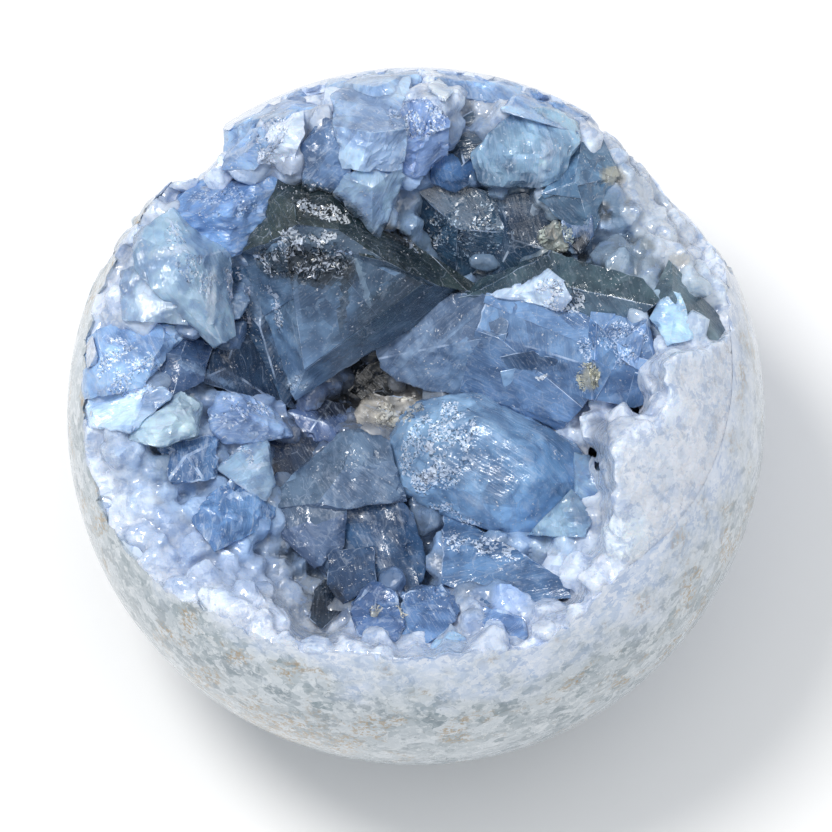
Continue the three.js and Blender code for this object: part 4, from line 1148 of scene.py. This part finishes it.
class Nodes:
    """Short names for building a node tree."""

    def __init__(self, name):
        self.material = bpy.data.materials.new(name)
        self.material.use_nodes = True
        self.tree = self.material.node_tree
        self.shader = self.tree.nodes["Principled BSDF"]
        self.output = self.tree.nodes["Material Output"]

    def add(self, kind, **settings):
        node = self.tree.nodes.new(kind)
        for key, value in settings.items():
            setattr(node, key, value)
        return node

    def link(self, start, end):
        self.tree.links.new(start, end)

    def put(self, socket, value):
        if isinstance(value, bpy.types.NodeSocket):
            self.link(value, socket)
        else:
            socket.default_value = value

    def math(self, operation, a, b=0.0, clamp=False):
        node = self.add("ShaderNodeMath", operation=operation, use_clamp=clamp)
        self.put(node.inputs[0], a)
        self.put(node.inputs[1], b)
        return node.outputs[0]

    def mix(self, factor, a, b, blend="MIX"):
        node = self.add("ShaderNodeMix", data_type="RGBA", blend_type=blend, clamp_factor=True)
        self.put(node.inputs["Factor"], factor)
        for socket, value in zip((node.inputs[6], node.inputs[7]), (a, b)):
            self.put(socket, value)
        return node.outputs[2]

    def noise(self, vector, scale, detail=4.0, roughness=0.55, distortion=0.0):
        node = self.add("ShaderNodeTexNoise")
        self.put(node.inputs["Vector"], vector)
        node.inputs["Scale"].default_value = scale
        node.inputs["Detail"].default_value = detail
        node.inputs["Roughness"].default_value = roughness
        node.inputs["Distortion"].default_value = distortion
        return node.outputs["Fac"]

    def voronoi(self, vector, scale, feature="F1", output="Color"):
        node = self.add("ShaderNodeTexVoronoi", feature=feature)
        self.put(node.inputs["Vector"], vector)
        node.inputs["Scale"].default_value = scale
        return node.outputs[output]

    def vector(self, operation, a, b):
        node = self.add("ShaderNodeVectorMath", operation=operation)
        self.put(node.inputs[0], a)
        self.put(node.inputs[1], b)
        return node.outputs[0]

    def scaled(self, vector, factor):
        node = self.add("ShaderNodeVectorMath", operation="SCALE")
        self.link(vector, node.inputs[0])
        node.inputs["Scale"].default_value = factor
        return node.outputs[0]

    def length(self, vector):
        node = self.add("ShaderNodeVectorMath", operation="LENGTH")
        self.link(vector, node.inputs[0])
        return node.outputs["Value"]

    def facets(self, vector, scale, tilt):
        """A height that gives each cell its own flat slope."""
        cells = self.add("ShaderNodeTexVoronoi", feature="F1")
        self.put(cells.inputs["Vector"], vector)
        cells.inputs["Scale"].default_value = scale
        local = self.vector("SUBTRACT", vector, cells.outputs["Position"])
        slope = self.vector("SUBTRACT", cells.outputs["Color"], (0.5, 0.5, 0.5))
        dot = self.add("ShaderNodeVectorMath", operation="DOT_PRODUCT")
        self.link(local, dot.inputs[0])
        self.link(slope, dot.inputs[1])
        return self.math("MULTIPLY", dot.outputs["Value"], tilt)

    def stretched(self, vector, scale):
        node = self.add("ShaderNodeMapping", vector_type="POINT")
        self.put(node.inputs["Vector"], vector)
        node.inputs["Scale"].default_value = scale
        return node.outputs[0]

    def band(self, value, low, high):
        """0 up to low, 1 from high on, and a smooth step between."""
        node = self.add("ShaderNodeMapRange", interpolation_type="SMOOTHSTEP")
        self.put(node.inputs["Value"], value)
        node.inputs["From Min"].default_value = low
        node.inputs["From Max"].default_value = high
        return node.outputs["Result"]

    def bent(self, vector, scale, amount):
        """The place shifted about by noise, so that cells get uneven outlines."""
        shift = self.add("ShaderNodeTexNoise")
        self.put(shift.inputs["Vector"], vector)
        shift.inputs["Scale"].default_value = scale
        shift.inputs["Detail"].default_value = 2.0
        centred = self.vector("SUBTRACT", shift.outputs["Color"], (0.5, 0.5, 0.5))
        return self.vector("ADD", vector, self.scaled(centred, amount))

    def grey(self, colour):
        """One channel of a random colour, as a number from 0 to 1."""
        split = self.add("ShaderNodeSeparateColor")
        self.link(colour, split.inputs[0])
        return split.outputs[0]

    def attribute(self, name, output="Fac"):
        return self.add("ShaderNodeAttribute", attribute_name=name).outputs[output]

    def bump(self, height, strength, distance, under=None):
        node = self.add("ShaderNodeBump")
        self.put(node.inputs["Height"], height)
        self.put(node.inputs["Strength"], strength)
        node.inputs["Distance"].default_value = distance
        if under is not None:
            self.link(under, node.inputs["Normal"])
        return node.outputs[0]


    def body_light(self, weight, scale):
        """How much light enters the stone, how far it runs, and how much it is bent."""
        self.shader.inputs["Subsurface Weight"].default_value = weight
        self.shader.inputs["Subsurface Scale"].default_value = scale
        self.shader.inputs["Subsurface Radius"].default_value = GLOW_RADIUS
        self.shader.inputs["IOR"].default_value = CELESTITE_IOR


def rgb(tint):
    """A display colour of 0 to 255 as a node's linear colour."""
    return (*linear(tint).tolist(), 1.0)


def crystal_material(name, transmission, veil, rough, gain, absorb=None, density=0.0,
                     veil_tint=(196, 212, 236), glow=0.0):
    """Celestite: blue see-through body, milky wisps, cracks, cleavage lines, tiny glinting faces and painted
    white glint specks.
    """
    n = Nodes(name)
    tint = n.attribute("tint", "Color")
    grain = n.attribute("grain", "Vector")
    frost = n.attribute("frost")
    cloud = n.noise(grain, 0.22, 2.0, 0.6, 0.6)
    fine = n.noise(grain, 1.1, 3.0, 0.65)
    wisps = n.noise(n.stretched(grain, (0.22, 0.9, 0.4)), 1.0, 3.0, 0.72, 1.4)
    cleave = n.noise(n.stretched(grain, (0.16, 3.2, 0.22)), 1.0, 2.0, 0.6)
    lines = n.band(cleave, 0.58, 0.66)
    planes = n.voronoi(n.stretched(grain, (0.18, 0.5, 0.3)), 1.0)
    blocks = n.voronoi(n.stretched(grain, (0.55, 0.9, 0.7)), 1.0)
    seams = n.voronoi(n.bent(grain, 0.5, 1.8), 0.26, feature="DISTANCE_TO_EDGE", output="Distance")
    cracks = n.math("MULTIPLY", n.band(seams, 0.03, 0.0), n.band(cloud, 0.5, 0.62))
    veils = n.math("MULTIPLY", n.band(wisps, 0.5, 0.68), veil * 1.2)
    veils = n.math("ADD", veils, n.math("MULTIPLY", lines, 0.32 * veil + 0.06), clamp=True)
    veils = n.math("MAXIMUM", veils, n.math("MULTIPLY", cracks, 0.4))
    patch = n.band(n.noise(grain, 0.35, 2.0, 0.5, 1.2), 0.56, 0.64)
    cells = n.voronoi(grain, 2.2)
    # Painted highlights: tiny white specks, thicker where the glint bump is strong
    painted_glint_specks = n.band(n.noise(grain, 3.0, 1.0, 0.5), 0.64, 0.68)
    white = n.math("MULTIPLY", painted_glint_specks, n.math("ADD", n.math("MULTIPLY", patch, 0.7), 0.15))
    shade = n.band(cloud, 0.36, 0.64)
    dark = n.mix(shade, (0.62, 0.65, 0.7, 1), (1.2, 1.18, 1.15, 1))
    dark = n.mix(1.0, dark, n.mix(planes, (0.74, 0.76, 0.8, 1), (1.24, 1.22, 1.2, 1)), "MULTIPLY")
    dark = n.mix(1.0, dark, n.mix(blocks, (0.88, 0.89, 0.9, 1), (1.12, 1.11, 1.1, 1)), "MULTIPLY")
    body = n.mix(1.0, n.mix(1.0, tint, dark, "MULTIPLY"),
                 (gain * 0.96, gain * 1.02, gain * 1.05, 1), "MULTIPLY")
    body = n.mix(veils, body, rgb(veil_tint))
    body = n.mix(n.math("MULTIPLY", frost, n.band(fine, 0.35, 0.65)), body, rgb((204, 216, 238)))
    body = n.mix(white, body, rgb((236, 241, 252)))
    n.link(body, n.shader.inputs["Base Color"])
    roughness = n.math("ADD", n.math("MULTIPLY", fine, 0.22), rough)
    roughness = n.math("ADD", roughness, n.math("MULTIPLY", frost, 0.25), clamp=True)
    n.link(roughness, n.shader.inputs["Roughness"])
    small = n.bump(fine, 0.35, 0.0003)
    steps = n.bump(cleave, 0.3, 0.0004, small)
    tilted = n.bump(planes, 0.22, 0.0006, steps)
    glint = n.bump(cells, n.math("MULTIPLY", patch, 0.9), 0.0006, tilted)
    n.link(glint, n.shader.inputs["Normal"])
    n.body_light(glow, 0.0015)
    n.shader.inputs["Transmission Weight"].default_value = transmission
    if absorb is not None:
        volume = n.add("ShaderNodeVolumeAbsorption")
        volume.inputs["Color"].default_value = rgb(absorb)
        volume.inputs["Density"].default_value = density
        n.link(volume.outputs[0], n.output.inputs["Volume"])
    return n.material


def ellipse_level(n, position, centre, radii):
    """1 on the ellipsoid in the view frame, less inside it, more outside."""
    return n.length(n.vector("DIVIDE", n.vector("SUBTRACT", position, centre), radii))


def spot_level(n, position, spot):
    """How strongly a stain shows: full in its middle, nothing outside its half sizes."""
    x, y, across, up = spot
    level = ellipse_level(n, position, (x, y, 0), (across, up, 400))
    return n.band(level, 1.15, 0.5)


def view_position(n):
    """Object coordinates turned back into the view frame, in millimetres."""
    place = n.add("ShaderNodeTexCoord").outputs["Object"]
    turn = n.add("ShaderNodeVectorRotate", rotation_type="X_AXIS")
    n.link(n.vector("SUBTRACT", place, (0, 0, BALL_CENTRE_HEIGHT * MM)), turn.inputs["Vector"])
    turn.inputs["Angle"].default_value = -HOLLOW_TILT
    return n.scaled(turn.outputs[0], 1 / MM)


def icy_colour(n, place, bent, small):
    """A mosaic of white and pale blue cells with ragged blue and white flecks."""
    shifted = n.bent(place, 0.22, 4.0)
    large = n.voronoi(shifted, 0.3)
    ice = n.mix(n.grey(large), rgb((176, 198, 229)), rgb((222, 231, 246)))
    ice = n.mix(n.math("MULTIPLY", n.grey(small), 0.5), ice, rgb((234, 240, 250)))
    ice = n.mix(n.math("MULTIPLY", n.band(n.noise(shifted, 0.35, 3.0, 0.7), 0.52, 0.57), 0.45), ice,
                rgb((140, 167, 208)))
    snow = n.band(n.noise(bent, 0.8, 3.0, 0.7), 0.54, 0.58)
    return n.mix(n.math("MULTIPLY", snow, 0.7), ice, rgb((236, 241, 250)))


def rind_material(name):
    """Massive celestite: a mosaic of grey-green and white grains, icy near the hollow, with brown stains."""
    n = Nodes(name)
    place = view_position(n)
    near = ellipse_level(n, place, (2, 8, 30), (42, 42, 400))
    wander = n.math("SUBTRACT", n.noise(place, 0.16, 3.0, 0.6), 0.5)
    near = n.math("ADD", near, n.math("MULTIPLY", wander, 0.4))
    bent = n.bent(place, 0.5, 1.6)
    small = n.voronoi(bent, 1.3)
    grey = n.mix(n.grey(n.voronoi(bent, 0.5)), rgb((120, 140, 150)), rgb((204, 213, 220)))
    grey = n.mix(n.math("MULTIPLY", n.grey(small), 0.45), grey, rgb((214, 222, 228)))
    dull = n.band(n.noise(bent, 0.3, 3.0, 0.6), 0.56, 0.62)
    grey = n.mix(n.math("MULTIPLY", dull, 0.6), grey, rgb((112, 130, 142)))
    light = n.band(n.noise(bent, 0.9, 3.0, 0.7), 0.54, 0.6)
    grey = n.mix(n.math("MULTIPLY", light, 0.6), grey, rgb((224, 230, 234)))
    grains = n.noise(place, 1.5, 3.0, 0.75)
    grey = n.mix(n.math("MULTIPLY", n.band(grains, 0.62, 0.66), 0.5), grey, rgb((100, 112, 114)))
    stain = n.band(n.noise(place, 0.16, 2.0, 0.5), 0.54, 0.66)
    for spot in RUST_SPOTS:
        stain = n.math("MAXIMUM", stain, spot_level(n, place, spot))
    grey = n.mix(n.math("MULTIPLY", stain, n.math("MULTIPLY", n.band(grains, 0.5, 0.56), 0.75)), grey,
                 rgb((164, 138, 96)))
    inside = n.band(n.length(place), BALL_RADIUS - 0.2, BALL_RADIUS - 1.5)
    icy = n.math("MAXIMUM", n.band(near, 1.08, 0.88), inside)
    n.link(n.mix(icy, grey, icy_colour(n, place, bent, small)), n.shader.inputs["Base Color"])
    n.link(n.math("MULTIPLY", n.grey(small), 0.3), n.shader.inputs["Roughness"])
    n.link(n.bump(grains, 0.08, 0.0005), n.shader.inputs["Normal"])
    n.shader.inputs["IOR"].default_value = CELESTITE_IOR
    return n.material


def lining_material(name):
    """The small crystals grown together: icy at the rim, in their neighbours' colour farther in, with painted
    shade in their pits.
    """
    n = Nodes(name)
    place = view_position(n)
    bent = n.bent(place, 0.5, 1.6)
    small = n.voronoi(bent, 1.3)
    colour = n.mix(n.attribute("frost"), n.attribute("tint", "Color"), icy_colour(n, place, bent, small))
    colour = n.mix(n.math("MULTIPLY", n.band(n.noise(bent, 0.45, 3.0, 0.7), 0.54, 0.58), 0.35), colour,
                   rgb((124, 150, 192)))
    n.link(colour, n.shader.inputs["Base Color"])
    n.link(n.math("MULTIPLY", n.grey(small), 0.4), n.shader.inputs["Roughness"])
    relief = n.math("ADD", n.facets(bent, 0.35, 0.35), n.facets(bent, 0.9, 0.35))
    n.link(n.bump(relief, 0.8, 0.001), n.shader.inputs["Normal"])
    n.body_light(0.3, 0.002)
    return n.material


def floor_material():
    """Nearly white paper, a little uneven."""
    n = Nodes("floor")
    place = n.add("ShaderNodeTexCoord").outputs["Object"]
    tone = n.noise(place, 3.0, 3.0)
    n.link(n.mix(tone, (0.9, 0.9, 0.9, 1), (0.94, 0.94, 0.94, 1)), n.shader.inputs["Base Color"])
    n.shader.inputs["Roughness"].default_value = 0.7
    return n.material


# The pieces

def remesh(piece, size):
    """Makes one closed skin of all that stands in each other."""
    modifier = piece.modifiers.new("grown together", "REMESH")
    modifier.mode = "VOXEL"
    modifier.voxel_size = size * MM
    modifier.use_smooth_shade = True
    apply_modifiers(piece)


def view_places(piece):
    """The piece's vertices in the view frame."""
    places = np.empty(len(piece.data.vertices) * 3, dtype=np.float64)
    piece.data.vertices.foreach_get("co", places)
    return to_view(places.reshape(-1, 3))


def run_together(values, edges, degree):
    """Each vertex's value moved toward its neighbours' mean."""
    total = np.zeros_like(values)
    np.add.at(total, edges[:, 0], values[edges[:, 1]])
    np.add.at(total, edges[:, 1], values[edges[:, 0]])
    return values * 0.4 + total / np.maximum(degree, 1) * 0.6


def grown_tint(piece, heap):
    """Colours the mass by the crystal each spot belongs to, lets the colours run into each other, lays the
    soft places over it, and paints shade into its pits.
    """
    places = view_places(piece)
    tree = BVHTree.FromPolygons(np.concatenate(heap.vertices).tolist(),
                                np.concatenate(heap.triangles).tolist())
    own = np.concatenate(heap.tint)
    colours = linear(np.clip(zone_tints(places[:, 0], places[:, 1]), 0, 255))
    for index, place in enumerate(places):
        spot, normal, face, distance = tree.find_nearest(Vector(place), 0.7)
        if face is not None:
            colours[index] = own[face]
    edges = np.array([e.vertices[:] for e in piece.data.edges])
    degree = np.bincount(edges.ravel(), minlength=len(places)).astype(float)[:, None]
    # A place that lies under the mean of its neighbourhood is in a pit, and gets painted shade
    smooth = places
    for step in range(PIT_REACH):
        smooth = run_together(smooth, edges, degree)
    normals = np.empty(len(places) * 3)
    piece.data.vertices.foreach_get("normal", normals)
    normals = to_view(normals.reshape(-1, 3) * MM + (0, 0, BALL_CENTRE_HEIGHT * MM))
    depth = ((smooth - places) * normals).sum(axis=1)
    for step in range(COLOUR_RUN):
        colours = run_together(colours, edges, degree)
        depth = run_together(depth[:, None], edges, degree)[:, 0]
    colours = toned_and_shaded(colours, places, TONES_AND_SHADE) * (1 - np.clip(depth * PIT_SHADE, -0.25, 0.6))[:, None]
    x, y = places[:, 0], places[:, 1]
    inward = rim_radius(np.degrees(np.arctan2(y, x))) - np.hypot(x, y)
    frost = piece.data.attributes.new("frost", "FLOAT", "POINT")
    frost.data.foreach_set("value", np.clip(0.6 - inward / ICE_REACH, 0.05, 0.5).astype(np.float32))
    colours = np.concatenate([colours, np.ones((len(colours), 1))], axis=1)
    tint = piece.data.color_attributes.new("tint", "FLOAT_COLOR", "POINT")
    tint.data.foreach_set("color", colours.astype(np.float32).ravel())


def make_stone():
    """The rind, and the lining: the stone inside the hollow with the small crystals grown onto it."""
    below = cutter_box()
    above = bed_object()
    under = bed_object(2.6, MASS_DEPTH)
    breaks = [break_object(edge) for edge in (LEFT_BREAK, RIGHT_BREAK)]
    hollow = ellipsoid_object("hollow", HOLLOW_CENTRE, HOLLOW_RADII, 5)
    plug = ellipsoid_object("plug", PLUG_CENTRE, PLUG_RADII, 4)
    cut(hollow, plug)
    rind = whole_ball("polished_rind", [below, above, *breaks])
    mass = rind.copy()
    mass.data = rind.data.copy()
    mass.name = "milky_mass"
    bpy.context.collection.objects.link(mass)
    cut(rind, hollow)
    cut(mass, hollow, "INTERSECT")
    covered = [outline_of(large_crystal_points(crystal)) for crystal in CRYSTALS.values()]
    heap = Heap()
    scattered(heap, 11, 3.2, 3.5, 60, (3.4, 5.8), (0.25, 0.5), covered, spread=0.2)
    scattered(heap, 23, 2.6, -0.4, 8, (2.8, 5.6), (0.1, 0.24), covered, lean=0.3, pale=0.36)
    grains = heap.mesh_object("grains")
    join(mass, grains)
    remesh(mass, MASS_CELL)
    face = ellipsoid_object("face", (0, 0, 0), (BALL_RADIUS - SKIN / 2,) * 3, BALL_DETAIL)
    cut(mass, face, "INTERSECT")
    remove(face)
    for cutter in breaks:
        cut(mass, cutter)
    cut(mass, under, "INTERSECT")
    for made in [below, above, under, *breaks, hollow, plug]:
        remove(made)
    grown_tint(mass, heap)
    finish_mesh(rind, rind_material("massive_celestite"), 22)
    finish_mesh(mass, lining_material("sugary_celestite"), 32)
    return rind, mass


def join(target, other):
    """Adds the other object's mesh to the target's."""
    bm = bmesh.new()
    bm.from_mesh(target.data)
    bm.from_mesh(other.data)
    for layer in list(bm.loops.layers.float_color.values()):
        bm.loops.layers.float_color.remove(layer)
    bm.to_mesh(target.data)
    bm.free()
    remove(other)


def make_crystals():
    """One piece for each kind: its transmission, veils, roughness, brightness, body colour and density."""
    materials = {
        "dark": crystal_material("dark_celestite", 0.45, 0.1, 0.03, 1.4, (120, 160, 195), 60),
        "blue": crystal_material("blue_celestite", 0.35, 0.22, 0.03, 1.45, (130, 175, 225), 30),
        "clear": crystal_material("clear_celestite", 0.55, 0.35, 0.02, 1.65, (200, 220, 245), 8, glow=0.2),
        "pale": crystal_material("pale_celestite", 0.2, 0.4, 0.04, 1.32, (180, 206, 240), 12, glow=0.3),
        "rough": crystal_material("rough_crystal", 0.1, 0.5, 0.35, 1.3, veil_tint=(188, 182, 170)),
    }
    pieces = []
    for kind, material in materials.items():
        heap = Heap()
        large_crystals(kind, heap, LOOKS[kind])
        pieces.append(heap.mesh_object(f"{kind}_crystals", material))
    return pieces


def add_light(name, place, size, power, colour=(1, 1, 1)):
    """A round soft light aimed at the ball."""
    light = bpy.data.lights.new(name, "AREA")
    light.shape = "DISK"
    light.size = size
    light.energy = power
    light.color = colour
    lamp = bpy.data.objects.new(name, light)
    lamp.location = place
    lamp.rotation_euler = (Vector(LIGHT_AIM) - Vector(place)).to_track_quat("-Z", "Y").to_euler()
    bpy.context.collection.objects.link(lamp)


def make_stage():
    """The pale floor, the studio's light and the plain colour transform."""
    floor = bpy.data.objects.new("floor", bpy.data.meshes.new("floor"))
    corners = [(-1, -1, 0), (1, -1, 0), (1, 1, 0), (-1, 1, 0)]
    floor.data.from_pydata([(x * FLOOR_HALF, y * FLOOR_HALF, z) for x, y, z in corners], [], [(0, 1, 2, 3)])
    floor.data.materials.append(floor_material())
    bpy.context.collection.objects.link(floor)
    world = bpy.data.worlds.new("studio")
    world.use_nodes = True
    world.node_tree.nodes["Background"].inputs["Color"].default_value = (0.93, 0.96, 1.0, 1)
    world.node_tree.nodes["Background"].inputs["Strength"].default_value = 0.5
    bpy.context.scene.world = world
    add_light("key", (-0.22, 0.06, 0.75), 0.2, 3.2, (1, 0.98, 0.95))
    add_light("soft_top", (0.1, -0.1, 0.95), 0.8, 2.6)
    bpy.context.scene.view_settings.view_transform = "Standard"
    bpy.context.scene.view_settings.look = "None"


def make_camera():
    """The photo's view: the ball's outline takes up as much of the picture as it does there."""
    centre = Vector((0, 0, BALL_CENTRE_HEIGHT * MM))
    back = Vector((0, -math.cos(CAMERA_ELEVATION), math.sin(CAMERA_ELEVATION)))
    data = bpy.data.cameras.new("camera")
    data.sensor_width = SENSOR_WIDTH
    silhouette = math.tan(math.asin(CAD_RADIUS * MM / CAMERA_DISTANCE))
    data.lens = SENSOR_WIDTH / 2 / (silhouette * PICTURE_HALF / BALL_HALF)
    camera = bpy.data.objects.new("camera", data)
    camera.location = centre + back * CAMERA_DISTANCE
    camera.rotation_euler = (-back).to_track_quat("-Z", "Y").to_euler()
    bpy.context.collection.objects.link(camera)
    bpy.context.scene.camera = camera


rind, mass = make_stone()
crystals = make_crystals()
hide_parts("geode_shell")
for piece in [mass, *crystals]:
    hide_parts("crystal_crust")
for piece in [rind, mass, *crystals]:
    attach(piece, "root")
make_stage()
make_camera()
